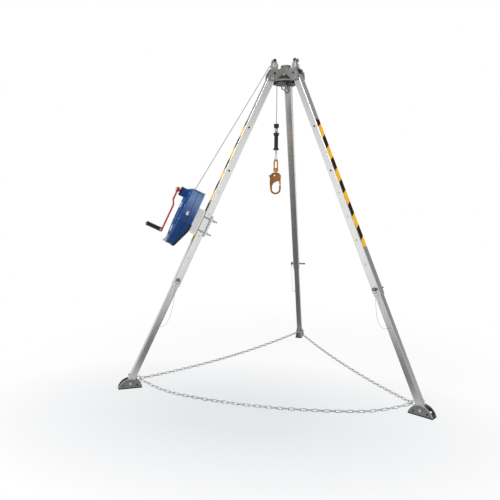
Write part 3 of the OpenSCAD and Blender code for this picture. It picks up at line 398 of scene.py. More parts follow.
def plated_steel(name, base, rough=(0.22, 0.4), metallic=1.0, edge=0.0008, spangle=0.0):
    """Zinc plated or galvanised steel."""
    mat, tree, shader, vector = material_start(name)
    mottle = place_group(tree, "mottle", vector, Scale=55.0)
    tone = mix_colour(tree, mottle["Patches"], tint(base, 0.86 - spangle), tint(base, 1.06))
    tone = mark(tree, vector, tone, tint(base, 0.6), scale=70.0, amount=0.5)
    set_surface(tree, shader, tone, mottle["Patches"], rough)
    shader.inputs["Metallic"].default_value = metallic
    round_edges(tree, shader, edge, mottle["Specks"], strength=0.08, distance=0.0003)
    return mat


def coated_metal(name, base, rough, coat=0.0, edge=0.0015, peel=0.12, dust=0.12, grain=60.0, gloss=0.5,
                 glow=0.0):
    """Paint, powder coat or printed film with a fine orange-peel relief and rubbed spots; a painted glow can
    make it give off light in its own colour.
    """
    mat, tree, shader, vector = material_start(name)
    mottle = place_group(tree, "mottle", vector, Scale=grain)
    tone = mix_colour(tree, mottle["Patches"], tint(base, 0.9), tint(base, 1.08))
    tone = mark(tree, vector, tone, tint(base, 1.7), scale=34.0, amount=0.3)
    tone = settle(tree, vector, tone, (0.45, 0.44, 0.42), amount=dust)
    set_surface(tree, shader, tone, mottle["Patches"], rough)
    # Painted light: the finish glows in its own colour by the glow strength, though it is no lamp
    tree.links.new(tone, shader.inputs["Emission Color"])
    shader.inputs["Emission Strength"].default_value = glow
    shader.inputs["Specular IOR Level"].default_value = gloss
    shader.inputs["Coat Weight"].default_value = coat
    shader.inputs["Coat Roughness"].default_value = 0.1
    round_edges(tree, shader, edge, mottle["Specks"], strength=peel, distance=0.0005)
    return mat


def moulded(name, base, rough=(0.45, 0.6), edge=0.001, relief=0.2):
    """Moulded plastic or rubber with a fine grain."""
    mat, tree, shader, vector = material_start(name)
    mottle = place_group(tree, "mottle", vector, Scale=80.0)
    tone = mix_colour(tree, mottle["Patches"], tint(base, 0.85), tint(base, 1.25))
    tone = mark(tree, vector, tone, tint(base, 3.5), scale=45.0, amount=0.25)
    tone = settle(tree, vector, tone, (0.30, 0.29, 0.27), amount=0.12)
    set_surface(tree, shader, tone, mottle["Patches"], rough)
    round_edges(tree, shader, edge, mottle["Specks"], strength=relief, distance=0.0005)
    return mat


def paint_sheen_down(mat, leg, places, pale, amount):
    """Paints a reflection into a finish, going from a share of a pale colour to its own between two places
    along a leg.
    """
    tree = mat.node_tree
    base = tree.nodes["Principled BSDF"].inputs["Base Color"]
    tone = base.links[0].from_socket
    down = joint_axis("leg_slide_" + leg)
    hinge = down.dot(joint_spot("leg_fold_" + leg))
    reach = tree.nodes.new("ShaderNodeVectorMath")
    reach.operation = "DOT_PRODUCT"
    reach.inputs[1].default_value = down
    tree.links.new(tree.nodes.new("ShaderNodeTexCoord").outputs["Object"], reach.inputs[0])
    share = range_node(tree, reach.outputs["Value"], hinge + places[0], hinge + places[1], amount, 0.0)
    tree.links.new(mix_colour(tree, share, tone, pale), base)


# Metals that are drawn along a leg, with the values of their making
DRAWN_METALS = {
    "leg": dict(metallic=0.92),
    "tube": dict(metallic=0.88),
    "shoe": dict(metallic=0.85, rough=(0.28, 0.42), edge=0.0022),
}
TAPE_FILM = dict(rough=(0.5, 0.62), edge=0.0002, peel=0.04, dust=0.0, grain=30.0, gloss=0.12)
# Each other finish: its maker, its colour, how much lighter or darker that is, and the values of its making
FINISH_MAKING = {
    "cast": (coated_metal, "cast", 1.0,
             dict(rough=(0.38, 0.55), edge=0.002, peel=0.35, dust=0.15, grain=45.0)),
    "inlay": (coated_metal, "cast", 0.18,
              dict(rough=(0.38, 0.55), edge=0.0006, peel=0.3, dust=0.05, grain=45.0, gloss=0.2)),
    "bracket": (coated_metal, "cast", 1.25, dict(rough=(0.34, 0.5), edge=0.001, peel=0.2)),
    "zinc": (plated_steel, "zinc", 1.0, {}),
    "bright": (plated_steel, "zinc", 1.2, dict(rough=(0.12, 0.24))),
    "rim": (plated_steel, "zinc", 1.2, dict(rough=(0.3, 0.42), metallic=0.35, edge=0.0004, spangle=0.04)),
    "chain": (plated_steel, "zinc", 1.1, dict(rough=(0.28, 0.42), metallic=0.7, edge=0.0004, spangle=0.06)),
    "galvanised": (plated_steel, "galvanised", 1.0,
                   dict(rough=(0.34, 0.5), metallic=0.9, edge=0.0006, spangle=0.12)),
    "gear_steel": (plated_steel, "galvanised", 0.6, dict(rough=(0.3, 0.45), edge=0.0004)),
    "rope": (plated_steel, "galvanised", 0.8, dict(rough=(0.38, 0.5), metallic=0.3, edge=0.0002)),
    "black_steel": (coated_metal, "black", 0.7,
                    dict(rough=(0.34, 0.48), edge=0.0008, peel=0.1, dust=0.0, gloss=0.14)),
    "black_plastic": (moulded, "black", 1.0, {}),
    "rubber": (moulded, "rubber", 1.0, dict(rough=(0.6, 0.78), edge=0.0012, relief=0.35)),
    "blue": (coated_metal, "blue", 0.72,
             dict(rough=(0.24, 0.34), coat=0.15, edge=0.003, peel=0.03, dust=0.05, grain=50.0, gloss=0.25)),
    "blue_satin": (coated_metal, "blue", 1.0,
                   dict(rough=(0.5, 0.62), edge=0.003, peel=0.08, dust=0.03, grain=50.0, gloss=0.15)),
    # Painted highlight: a lighter copy of the blue coat for the lip on the housing's edge
    "blue_light": (coated_metal, "blue", 1.2,
                   dict(rough=(0.4, 0.5), edge=0.002, peel=0.1, dust=0.05, grain=50.0, gloss=0.25)),
    "red": (coated_metal, "red", 1.0, dict(rough=(0.2, 0.32), coat=0.4, peel=0.06, dust=0.04, grain=40.0)),
    "gold": (plated_steel, "gold", 1.0, dict(rough=(0.2, 0.36), metallic=0.95, edge=0.0014, spangle=0.3)),
    "gold_dark": (plated_steel, "copper", 1.0,
                  dict(rough=(0.2, 0.36), metallic=0.95, edge=0.001, spangle=0.4)),
    # Painted light: the yellow tape glows to look brighter
    "tape_yellow": (coated_metal, "yellow", 1.0, dict(glow=0.32, **TAPE_FILM)),
    "tape_black": (coated_metal, "dark", 1.0, TAPE_FILM),
    "bare_plate": (coated_metal, "plate", 1.0,
                   dict(rough=(0.3, 0.42), coat=0.1, edge=0.0004, peel=0.04, dust=0.03, grain=30.0)),
    # Painted shade for the inside of the outer tubes
    "bore": (moulded, "bore", 1.0, dict(rough=(0.7, 0.85), edge=0.0005, relief=0.1)),
    "coated_wire": (moulded, "wire", 1.0, dict(rough=(0.28, 0.4), edge=0.0002, relief=0.05)),
}
# Places along the left leg between which the painted reflection, a pale sheen painted into the winch's blue
# coat, fades, and its share at the top
PAINTED_SHEEN_PLACES = (0.95, 1.06)
PAINTED_SHEEN_SHARE = 0.5
FINISHES = {}


def finish(name):
    """Gives a finish by name, made once; a drawn metal's name ends with its leg."""
    if name not in FINISHES:
        hue = bpy.context.scene.tripod_colours
        part, _, leg = name.partition("_")
        if leg in LEGS:
            made = drawn_metal(name, getattr(hue, part), leg_matrix(leg), **DRAWN_METALS[part])
        else:
            maker, tone, by, values = FINISH_MAKING[name]
            made = maker(name, tint(getattr(hue, tone), by), **values)
        # Painted reflection: the blue coat is painted paler towards the winch's top end
        if name == "blue":
            paint_sheen_down(made, "left", PAINTED_SHEEN_PLACES, hue.painted_sheen_blue, PAINTED_SHEEN_SHARE)
        FINISHES[name] = made
    return FINISHES[name]


def refinish(node, name, place, test):
    """Gives another finish to the faces of a solid whose middles, in the frame of a place, pass a test."""
    mesh = frame["nodes"][node].data
    mesh.materials.append(finish(name))
    inward = place.inverted()
    for face in mesh.polygons:
        if test(inward @ face.center):
            face.material_index = len(mesh.materials) - 1


# Mesh tools

# Edges sharper than this many degrees stay sharp
SHARP_EDGE = 38
# Width of the cut on the edges of a thin block
BLOCK_EDGE = 0.0002


def link_object(name, data):
    """A new object in the scene."""
    made = bpy.data.objects.new(name, data)
    bpy.context.scene.collection.objects.link(made)
    return made


def fit(piece, body):
    """Ties a piece to the body that it moves with."""
    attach(piece, body)


def new_piece(name, verts, faces, mats, kinds=None, smooth=True):
    """A mesh object from points and faces; kinds gives each face's material."""
    mesh = bpy.data.meshes.new(name)
    mesh.from_pydata([tuple(point) for point in verts], [], faces)
    mesh.update()
    for mat in mats:
        mesh.materials.append(mat)
    if kinds is not None:
        mesh.polygons.foreach_set("material_index", kinds)
    mesh.polygons.foreach_set("use_smooth", [smooth] * len(faces))
    even = bmesh.new()
    even.from_mesh(mesh)
    bmesh.ops.recalc_face_normals(even, faces=even.faces[:])
    even.to_mesh(mesh)
    even.free()
    if smooth:
        mesh.set_sharp_from_angle(angle=math.radians(SHARP_EDGE))
    return link_object(name, mesh)


def ring_faces(rings, sides, closed=False):
    """Faces over rings of points that follow each other; the two ends are filled unless the rings close."""
    faces = []
    for i in range(rings if closed else rings - 1):
        low = i * sides
        high = (i + 1) % rings * sides
        for j in range(sides):
            after = (j + 1) % sides
            faces.append((low + j, low + after, high + after, high + j))
    if not closed:
        faces.append(tuple(range(sides - 1, -1, -1)))
        faces.append(tuple((rings - 1) * sides + j for j in range(sides)))
    return faces


def add_mesh(verts, faces, more_verts, more_faces):
    """Adds points and faces to those of a mesh."""
    base = len(verts)
    verts += more_verts
    faces += [tuple(base + k for k in face) for face in more_faces]


def circle(sides):
    """Angles of the points of a circle."""
    return [2 * math.pi * j / sides for j in range(sides)]


def line_ways(points, closed=False):
    """Direction of a line at each of its points."""
    last = len(points) - 1
    ways = []
    for i in range(len(points)):
        after = points[(i + 1) % len(points)] if closed else points[min(i + 1, last)]
        before = points[i - 1] if closed else points[max(i - 1, 0)]
        ways.append((after - before).normalized())
    return ways


def tube(points, radius, sides, closed=False, shape=None):
    """Points and faces of a tube along a line; shape gives the radius for a point's number and an angle."""
    ways = line_ways(points, closed)
    start = UP if abs(ways[0].z) < 0.9 else Vector((1, 0, 0))
    across = ways[0].cross(start).normalized()
    verts = []
    for i, (point, way) in enumerate(zip(points, ways)):
        across = (across - way * across.dot(way)).normalized()
        over = way.cross(across)
        for turn in circle(sides):
            reach = radius if shape is None else shape(i, turn)
            verts.append(point + across * (reach * math.cos(turn)) + over * (reach * math.sin(turn)))
    return verts, ring_faces(len(points), sides, closed)


def along(points, step):
    """The points of a line at even steps, ends included, and its length."""
    lengths = [0.0]
    for i in range(1, len(points)):
        lengths.append(lengths[-1] + (points[i] - points[i - 1]).length)
    count = max(2, round(lengths[-1] / step) + 1)
    even = []
    k = 1
    for i in range(count):
        goal = lengths[-1] * i / (count - 1)
        while k < len(points) - 1 and lengths[k] < goal:
            k += 1
        part = (goal - lengths[k - 1]) / (lengths[k] - lengths[k - 1])
        even.append(points[k - 1].lerp(points[k], part))
    return even, lengths[-1]


def spline_points(knots, parts):
    """A smooth line through the knots."""
    made = []
    last = len(knots) - 1
    for i in range(last):
        a = knots[max(i - 1, 0)]
        b = knots[i]
        c = knots[i + 1]
        d = knots[min(i + 2, last)]
        for j in range(parts):
            t = j / parts
            square = (2 * a - 5 * b + 4 * c - d) * t * t
            cube = (3 * b - a - 3 * c + d) * t * t * t
            made.append(0.5 * (2 * b + (c - a) * t + square + cube))
    made.append(knots[-1].copy())
    return made


def block_piece(name, matrix, low, high, mat):
    """A thin block with cut edges between two corners in a part's own frame."""
    made = bmesh.new()
    bmesh.ops.create_cube(made, size=1.0)
    for vert in made.verts:
        vert.co = Vector((low[k] + (vert.co[k] + 0.5) * (high[k] - low[k]) for k in range(3)))
    bmesh.ops.bevel(made, geom=made.edges[:], offset=BLOCK_EDGE, segments=1, affect="EDGES", profile=0.5)
    bmesh.ops.transform(made, matrix=matrix, verts=made.verts[:])
    mesh = bpy.data.meshes.new(name)
    made.to_mesh(mesh)
    made.free()
    mesh.materials.append(mat)
    mesh.polygons.foreach_set("use_smooth", [True] * len(mesh.polygons))
    piece = link_object(name, mesh)
    piece.modifiers.new("even shading", "WEIGHTED_NORMAL").keep_sharp = True
    return piece


def lathe_piece(name, matrix, profile, mat, sides):
    """A turned piece about z in a part's own frame; profile is (radius, height) pairs from end to end."""
    verts = []
    for radius, height in profile:
        for turn in circle(sides):
            verts.append(matrix @ Vector((radius * math.cos(turn), radius * math.sin(turn), height)))
    return new_piece(name, verts, ring_faces(len(profile), sides), [mat])


def band_piece(name, matrix, edge, section, height, mat, closed=True):
    """A band along an outline; section is (way out, rise) pairs over a height given for a place along it."""
    verts = []
    for x, y, out_x, out_y in edge:
        for out, rise in section:
            verts.append(matrix @ Vector((x + out_x * out, y + out_y * out, height(x) + rise)))
    return new_piece(name, verts, ring_faces(len(edge), len(section), closed), [mat])


# Rings of a screw head as shares of its radius and height, and of its six-sided socket
SCREW_RINGS = ((1.0, 0.0), (1.0, 0.35), (0.93, 0.7), (0.78, 0.92), (0.55, 1.0))
SOCKET_RISES = (1.0, 0.35)
SOCKET_SHARE = 0.40
SCREW_SIDES = 36


def button(name, matrix, radius, high, mat):
    """A round screw head with a six-sided socket sunk in its top, its seat at z = 0."""
    verts = []
    for share, rise in SCREW_RINGS:
        for turn in circle(SCREW_SIDES):
            reach = share * radius
            verts.append(matrix @ Vector((reach * math.cos(turn), reach * math.sin(turn), rise * high)))
    for rise in SOCKET_RISES:
        for turn in circle(SCREW_SIDES):
            corner = (turn + math.pi / 6) % (math.pi / 3) - math.pi / 6
            reach = SOCKET_SHARE * radius / math.cos(corner)
            verts.append(matrix @ Vector((reach * math.cos(turn), reach * math.sin(turn), rise * high)))
    rings = len(SCREW_RINGS) + len(SOCKET_RISES)
    return new_piece(name, verts, ring_faces(rings, SCREW_SIDES), [mat])


# Finishes of the solids; one that ends with an underscore gets the name of the part's own leg
NODE_FINISH = {
    "head_casting": "cast", "head_base_plate": "black_steel", "head_screws": "bright",
    "leg_hinge_bolts": "bright", "pulley_brackets": "bracket", "pulley_bolts": "black_steel",
    "pulley_left": "bright", "pulley_right": "bright", "anchor_eyebolts": "gear_steel",
    "winch_clamp": "leg_left", "clamp_bolts": "chain", "winch_back_plate": "chain",
    "housing_rear": "blue", "housing_front": "blue", "drum": "galvanised", "drum_cable": "rope",
    "main_gear": "gear_steel", "crank_shaft": "gear_steel", "brake_ring": "gear_steel",
    "carry_bracket": "zinc", "crank_arm": "red", "crank_grip": "black_plastic",
    "cable_run": "rope", "cable_drop": "rope", "line_fittings": "zinc", "line_grip": "rubber",
    "swivel_eye": "gold", "hook_body": "gold_dark", "hook_gate": "gold", "hook_lock": "gold_dark",
    "chain_front": "chain", "chain_left": "chain", "chain_right": "chain",
}
LEG_FINISH = {
    "upper_tube": "leg_", "lower_tube": "tube_", "leg_cap": "black_plastic", "foot_eyebolt": "chain",
    "shoe": "shoe_", "sole_pad": "rubber", "shoe_bolt": "zinc", "lock_pin": "gear_steel",
    "lanyard": "coated_wire",
}
# Half the inner width of an outer tube, with a little more for its rounded corners
BORE_HALF = 0.0214


class TRIPOD_OT_finishes(bpy.types.Operator):
    """Gives every solid its finish, and paints shade inside the outer tubes as a near-black finish"""

    bl_idname = "tripod.finishes"
    bl_label = "Finishes of the solids"

    def execute(self, context):
        wanted = dict(NODE_FINISH)
        for part, name in LEG_FINISH.items():
            for leg in LEGS:
                wanted[part + "_" + leg] = name + leg if name.endswith("_") else name
        for node, piece in frame["nodes"].items():
            mat = finish(wanted[node])
            if not piece.material_slots:
                piece.data.materials.append(mat)
            for spot in piece.material_slots:
                spot.material = mat
        for leg in LEGS:
            # Painted shade on the faces inside each outer tube
            refinish("upper_tube_" + leg, "bore", leg_matrix(leg), self.in_bore)
        return {"FINISHED"}

    def in_bore(self, spot):
        """Whether a place in a leg's frame is inside its outer tube."""
        return max(abs(spot.y), abs(spot.z)) < BORE_HALF


# Cable route in the left leg's and the head's frames
CABLE_EXIT = (0.879, -0.070, 0.134)
CABLE_INSIDE = (0.905, -0.070, 0.134)
PULLEY_R = 0.084
PULLEY_Z = 0.090
PULLEY_PITCH = 0.023
PULLEY_STEPS = 24
# Steps along and around the rope, and the depth of the grooves between its strands
ROPE_STEP = 0.0028
ROPE_SIDES = 24
ROPE_GROOVE = 0.12


def pulley_point(head, turn):
    """Place of the cable's middle on a pulley."""
    out = PULLEY_R + PULLEY_PITCH * math.cos(turn)
    return head @ Vector((out, 0, PULLEY_Z + PULLEY_PITCH * math.sin(turn)))


def rope_piece(sizes, name, node, route):
    """A six-strand wire rope along a route in place of a solid."""
    line, total = along(route, ROPE_STEP)
    step = total / (len(line) - 1)
    radius = sizes.rope_d / 2

    def strands(i, turn):
        lobe = abs(math.cos(3 * (turn - 2 * math.pi * i * step / sizes.rope_lay)))
        return radius * (1 - ROPE_GROOVE + ROPE_GROOVE * lobe)

    verts, faces = tube(line, radius, ROPE_SIDES, False, strands)
    piece = new_piece(name, verts, faces, [finish("rope")])
    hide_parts(node)
    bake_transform(piece)


class TRIPOD_OT_wire_rope(bpy.types.Operator):
    """Draws the winch cable from its outlet over the left pulley to the hook line"""

    bl_idname = "tripod.wire_rope"
    bl_label = "Wire rope"

    def execute(self, context):
        sizes = context.scene.tripod_sizes
        leg = leg_matrix("left")
        head = head_matrix("left")
        outlet = leg @ Vector(CABLE_EXIT)
        flat = head.inverted() @ outlet
        gap = Vector((flat.x - PULLEY_R, flat.z - PULLEY_Z))
        turn = math.atan2(gap.y, gap.x) + math.acos(PULLEY_PITCH / gap.length)
        touch = pulley_point(head, turn)
        route = [leg @ Vector(CABLE_INSIDE), outlet, touch]
        rope_piece(sizes, "rope_run", "cable_run", route)
        bend = []
        for k in range(PULLEY_STEPS + 1):
            bend.append(pulley_point(head, turn + (math.pi - turn) * k / PULLEY_STEPS))
        top = bend[-1]
        foot = Vector((top.x, top.y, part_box("cable_drop")[0].z))
        rope_piece(sizes, "rope_drop", "cable_drop", bend + [foot])
        return {"FINISHED"}


# Place of the lock pins along a leg, and how far each lanyard runs down from there
PIN_X = 1.454
LANYARD_RUN = {"left": 0.318, "right": 0.238, "back": 0.268}
LANYARD_STEP = 0.004
LANYARD_SIDES = 10
SLEEVE_STEP = 0.0015
SLEEVE_SIDES = 12
# Radius of a lanyard's sleeves as a share of the wire's diameter
SLEEVE_SHARE = 1.05
# Rivet of a lanyard as (radius, height) pairs over its seat, and the place of the seat across the leg
RIVET = ((0.0001, -0.002), (0.004, -0.002), (0.004, 0.0), (0.0036, 0.0007), (0.002, 0.0012), (0.0001, 0.0014))
RIVET_Y = 0.0205


def lanyard_route(leg):
    """Knots of a lanyard's line from its pin's ring to its rivet, in its leg's frame."""
    run = LANYARD_RUN[leg]
    spots = ((0.0260, 0.0406, 0.0),
             (0.3 * run, 0.0406, -0.016),
             (0.55 * run, 0.0386, -0.038),
             (0.78 * run, 0.0356, -0.050),
             (0.95 * run, 0.0306, -0.042),
             (run + 0.003, 0.0255, -0.018),
             (run, 0.0212, 0.002))
    return [Vector((PIN_X + x, KNOB_SIDE[leg] * y, z)) for x, y, z in spots]


class TRIPOD_OT_lanyards(bpy.types.Operator):
    """Draws the coated wire that ties each lock pin to its leg"""

    bl_idname = "tripod.lanyards"
    bl_label = "Lanyards"

    def execute(self, context):
        sizes = context.scene.tripod_sizes
        for leg in LEGS:
            place = leg_matrix(leg)
            knots = [place @ spot for spot in lanyard_route(leg)]
            line, total = along(spline_points(knots, parts=10), LANYARD_STEP)
            verts, faces = tube(line, sizes.lanyard_d / 2, LANYARD_SIDES)
            wire = new_piece("lanyard_wire_" + leg, verts, faces, [finish("coated_wire")])
            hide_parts("lanyard_" + leg)
            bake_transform(wire)
            for name, body, part in (("lanyard_sleeve_top_", "pin_", line[:4]),
                                     ("lanyard_sleeve_end_", "leg_lower_", line[-6:-2])):
                verts, faces = tube(along(part, SLEEVE_STEP)[0], SLEEVE_SHARE * sizes.lanyard_d, SLEEVE_SIDES)
                sleeve = new_piece(name + leg, verts, faces, [finish("zinc")])
                fit(sleeve, body + leg)
            self.rivet(leg, place)
        return {"FINISHED"}

    def rivet(self, leg, place):
        """The rivet that holds the end of a lanyard."""
        side = KNOB_SIDE[leg]
        seat = place @ Matrix.Translation((PIN_X + LANYARD_RUN[leg], side * RIVET_Y, 0))
        seat = seat @ Matrix.Rotation(-side * math.pi / 2, 4, "X")
        piece = lathe_piece("lanyard_rivet_" + leg, seat, RIVET, finish("zinc"), sides=24)
        fit(piece, "leg_lower_" + leg)


# Base chain: place of the foot eyes and of the corner links in a leg's frame, and the form of the spans
EYE_X = 2.138
CORNER_Z = -0.0537
FRONT_BULGE = 0.150
SPAN_SAG = 0.033
SPAN_STEPS = 120
# Fine steps along a span on which its links are placed, and how many of them give a link's direction
PLACE_STEP = 0.001
PLACE_REACH = 8
# Share of the front span in which it comes down to the floor, and its links' play over the floor
FALL = 0.18
FLOOR_PLAY = 0.0006
# Play between links, and between a span and its corner links
LINK_PLAY = 0.0005
TIE_PLAY = {"front": 0.0017, "left": 0.0008, "right": 0.0008}
# Legs at the two ends of each span, with the side of the foot eye it leaves from
SPAN_ENDS = {
    "front": (("left", 1), ("right", -1)),
    "left": (("left", -1), ("back", 1)),
    "right": (("back", -1), ("right", 1)),
}
# Span that the corner link of each foot is counted with
CORNER_SPAN = {"left": "left", "right": "front", "back": "right"}
LINK_SIDES = 10
STRAIGHT_STEPS = 4
BEND_STEPS = 8
# Number of the ring that carries a link's weld, and how much thicker it is
WELD_RING = 14
WELD_SHARE = 1.1


def tie_point(sizes, leg, side):
    """Where a span pulls on the corner link of a foot."""
    mid = (sizes.link_gap + sizes.link_wire) / 2
    y = (sizes.link_in - sizes.link_gap) / 2 + mid * 0.5
    z = CORNER_Z - mid * math.sin(math.radians(60))
    return leg_matrix(leg) @ Vector((EYE_X, side * y, z))


def link_mesh(sizes, place, long):
    """Points and faces of one welded link that lies along a place's x."""
    mid = (sizes.link_gap + sizes.link_wire) / 2
    half = (long - sizes.link_gap) / 2
    line = []
    for way in (1, -1):
        for k in range(STRAIGHT_STEPS):
            line.append(way * Vector((half * (2 * k / STRAIGHT_STEPS - 1), -mid, 0)))
        for k in range(BEND_STEPS):
            turn = math.pi * (k / BEND_STEPS - 0.5)
            line.append(way * Vector((half + mid * math.cos(turn), mid * math.sin(turn), 0)))
    radius = sizes.link_wire / 2

    def weld(i, turn):
        return radius * (WELD_SHARE if i == WELD_RING else 1.0)

    return tube([place @ point for point in line], radius, LINK_SIDES, True, weld)


def span_line(sizes, span):
    """The line on which the middles of a span's links lie."""
    a, b = (tie_point(sizes, leg, side) for leg, side in SPAN_ENDS[span])
    floor_z = sizes.link_gap / 2 + sizes.link_wire + FLOOR_PLAY
    line = []
    for k in range(SPAN_STEPS + 1):
        t = k / SPAN_STEPS
        bow = 4 * t * (1 - t)
        point = a.lerp(b, t)
        if span == "front":
            fall = max(0.0, 1 - min(t, 1 - t) / FALL)
            point.y -= FRONT_BULGE * bow
            point.z = floor_z + (a.z - floor_z) * fall * fall
        else:
            point.z -= SPAN_SAG * bow
        line.append(point)
    return line


class TRIPOD_OT_base_chain(bpy.types.Operator):
    """Draws the chain through the three foot eyes, link by link"""

    bl_idname = "tripod.base_chain"
    bl_label = "Base chain"

    def execute(self, context):
        sizes = context.scene.tripod_sizes
        for span in SPAN_ENDS:
            self.span(sizes, span)
        lie_across = Matrix(((0, 0, 1), (1, 0, 0), (0, 1, 0))).to_4x4()
        for leg, span in CORNER_SPAN.items():
            place = leg_matrix(leg) @ Matrix.Translation((EYE_X, 0, CORNER_Z)) @ lie_across
            verts, faces = link_mesh(sizes, place, sizes.link_in)
            piece = new_piece("chain_corner_" + leg, verts, faces, [finish("chain")])
            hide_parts("chain_" + span)
            fit(piece, "leg_lower_" + leg)
        return {"FINISHED"}

    def link_places(self, sizes, span):
        """Frames of a span's links, and the length inside each."""
        fine, total = along(span_line(sizes, span), PLACE_STEP)
        last = len(fine) - 1
        room = total + sizes.link_wire + 2 * TIE_PLAY[span] - LINK_PLAY
        count = 2 * round((room / (sizes.link_in - LINK_PLAY) - 1) / 2) + 1
        step = room / count
        first = (step + LINK_PLAY - sizes.link_wire) / 2 - TIE_PLAY[span]
        links = []
        for i in range(count):
            spot = round((first + step * i) / total * last)
            after = fine[min(spot + PLACE_REACH, last)]
            before = fine[max(spot - PLACE_REACH, 0)]
            way = (after - before).normalized()
            side = UP.cross(way).normalized()
            over = way.cross(side)
            axes = (way, over, -side) if i % 2 == 0 else (way, side, over)
            links.append(axes_matrix(fine[spot], *axes))
        return links, step + LINK_PLAY

    def span(self, sizes, span):
        """One span in four runs of links."""
        links, long = self.link_places(sizes, span)
        count = len(links)
        half = count // 2
        quarter = half // 2
        start, end = (leg for leg, side in SPAN_ENDS[span])
        runs = ((0, quarter, start, "foot"), (quarter, half + 1, start, "middle"),
                (count - quarter, count, end, "foot"), (half + 1, count - quarter, end, "middle"))
        for low, high, leg, zone in runs:
            verts = []
            faces = []
            for place in links[low:high]:
                add_mesh(verts, faces, *link_mesh(sizes, place, long))
            piece = new_piece("chain_" + span + "_" + leg + "_" + zone, verts, faces, [finish("chain")])
            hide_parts("chain_" + span)
            near = links[low].translation
            far = links[high - 1].translation
            if leg == end:
                near, far = far, near
            if zone == "foot":
                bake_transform(piece)
                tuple(near)
                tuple(far)
            else:
                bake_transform(piece)
                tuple(near)
                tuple(far)


# Lean of the tape's bands for each unit across it, and the share of the first band that is cut off
TAPE_LEAN = -0.68
TAPE_CUT = 0.45
# Lower and upper face of the tape in a leg's frame, and the stretch of the left leg that the clamp covers
TAPE_FACES = (0.02502, 0.02532)
CLAMP_STRETCH = (0.972, 1.144)


def clip(corners, start, stop):
    """Cuts a flat outline to the stretch between two places along x."""
    for limit, keep in ((start, 1), (stop, -1)):
        kept = []
        for k, point in enumerate(corners):
            after = corners[(k + 1) % len(corners)]
            inside = keep * (point[0] - limit) >= 0
            if inside:
                kept.append(point)
            if inside != (keep * (after[0] - limit) >= 0):
                part = (limit - point[0]) / (after[0] - point[0])
                kept.append((limit, point[1] + (after[1] - point[1]) * part))
        corners = kept
        if len(corners) < 3:
            return []
    return corners


class TRIPOD_OT_tape(bpy.types.Operator):
    """Lays the slanted black and yellow warning tape on the outer face of each leg"""

    bl_idname = "tripod.tape"
    bl_label = "Warning tape"

    def execute(self, context):
        sizes = context.scene.tripod_sizes
        for leg in LEGS:
            parts = [(sizes.tape_from, sizes.tape_to)]
            if leg == "left":
                parts = [(sizes.tape_from, CLAMP_STRETCH[0]), (CLAMP_STRETCH[1], sizes.tape_to)]
            for number, (start, stop) in enumerate(parts):
                name = "tape_" + leg + "_" + str(number + 1)
                piece = self.strip(sizes, leg_matrix(leg), start, stop, name)
                fit(piece, "leg_upper_" + leg)
        return {"FINISHED"}

    def strip(self, sizes, place, start, stop, name):
        """One length of tape, with bands that are counted from the tape's top end."""
        half = sizes.tape_w / 2
        slant = TAPE_LEAN * half
        band = sizes.tape_band
        verts = []
        faces = []
        kinds = []
        low = int((start - slant - sizes.tape_from) / band) - 2
        high = int((stop + slant - sizes.tape_from) / band) + 2
        for number in range(low, high):
            edge = sizes.tape_from + (number - TAPE_CUT) * band
            corners = []
            for shift, side in ((0, -1), (band, -1), (band, 1), (0, 1)):
                corners.append((edge + shift + side * slant, side * half))
            cut = clip(corners, start, stop)
            if cut:
                layers = [place @ Vector((x, y, z)) for z in TAPE_FACES for x, y in cut]
                band_faces = ring_faces(len(TAPE_FACES), len(cut))
                add_mesh(verts, faces, layers, band_faces)
                kinds += [number % 2] * len(band_faces)
        return new_piece(name, verts, faces, [finish("tape_black"), finish("tape_yellow")], kinds, False)


# Winch housing in the left leg's frame: places and radii of its outline's corners, and its heights
HOUSING = ((0.921, -0.072, 0.034), (1.092, -0.072, 0.034), (1.237, -0.030, 0.026),
           (1.237, 0.030, 0.026), (1.092, 0.072, 0.034), (0.921, 0.072, 0.034))
HOUSING_LOW = 0.091
HOUSING_SEAM = 0.134
HOUSING_TOP = 0.177
HOUSING_END = 1.263
HOUSING_STEPS = 8
# Slanted lower end of the housing's rear side
SLANT_LEN = 0.121
SLANT_DEEP = 0.038
# Sections of the bands round the housing as (way out, rise) pairs
SEAM = ((0.0002, -0.0007), (0.0009, -0.0005), (0.0009, 0.0005), (0.0002, 0.0007))
LIP_R = 0.0026
LIP = tuple((-0.0019 + LIP_R * math.cos(turn), -0.0018 + LIP_R * math.sin(turn)) for turn in circle(12))
BUMPER = ((-0.004, -0.0045), (0.0035, -0.0045), (0.0045, -0.0035), (0.0045, 0.0055),
          (0.0035, 0.0065), (0.0003, 0.0065), (0.0003, -0.0004), (-0.004, -0.0004))
# How far the bumper strip goes on past the slant, and the steps between two points of the outline
BUMPER_MORE = 0.045
BUMPER_STEPS = 6
# Blank plates on the housing, and a thin dark pad between clamp and leg that paints the shade along the leg's
# edge: slot, finish and two corners
WINCH_BLOCKS = {
    "winch_plate_top": ("zinc", "bare_plate", (0.985, -0.044, 0.1831), (1.022, -0.006, 0.1836)),
    "winch_plate_low": ("zinc", "bare_plate", (1.145, -0.044, 0.1771), (1.186, -0.008, 0.1776)),
    "winch_plate_side": ("zinc", "bare_plate", (1.030, 0.1061, 0.137), (1.054, 0.1066, 0.152)),
    # Painted shade: a dark pad under the clamp stands in for the shaded line along the leg's edge
    "winch_pad": ("black_steel", "gear_steel", (0.975, -0.0435, 0.0252), (1.141, 0.0435, 0.0300)),
}
SCREWS = ((0.921, 0.078), (1.006, 0.092), (1.092, 0.078), (1.092, -0.078), (1.006, -0.092))
SCREW_R = 0.0055
SCREW_H = 0.0032
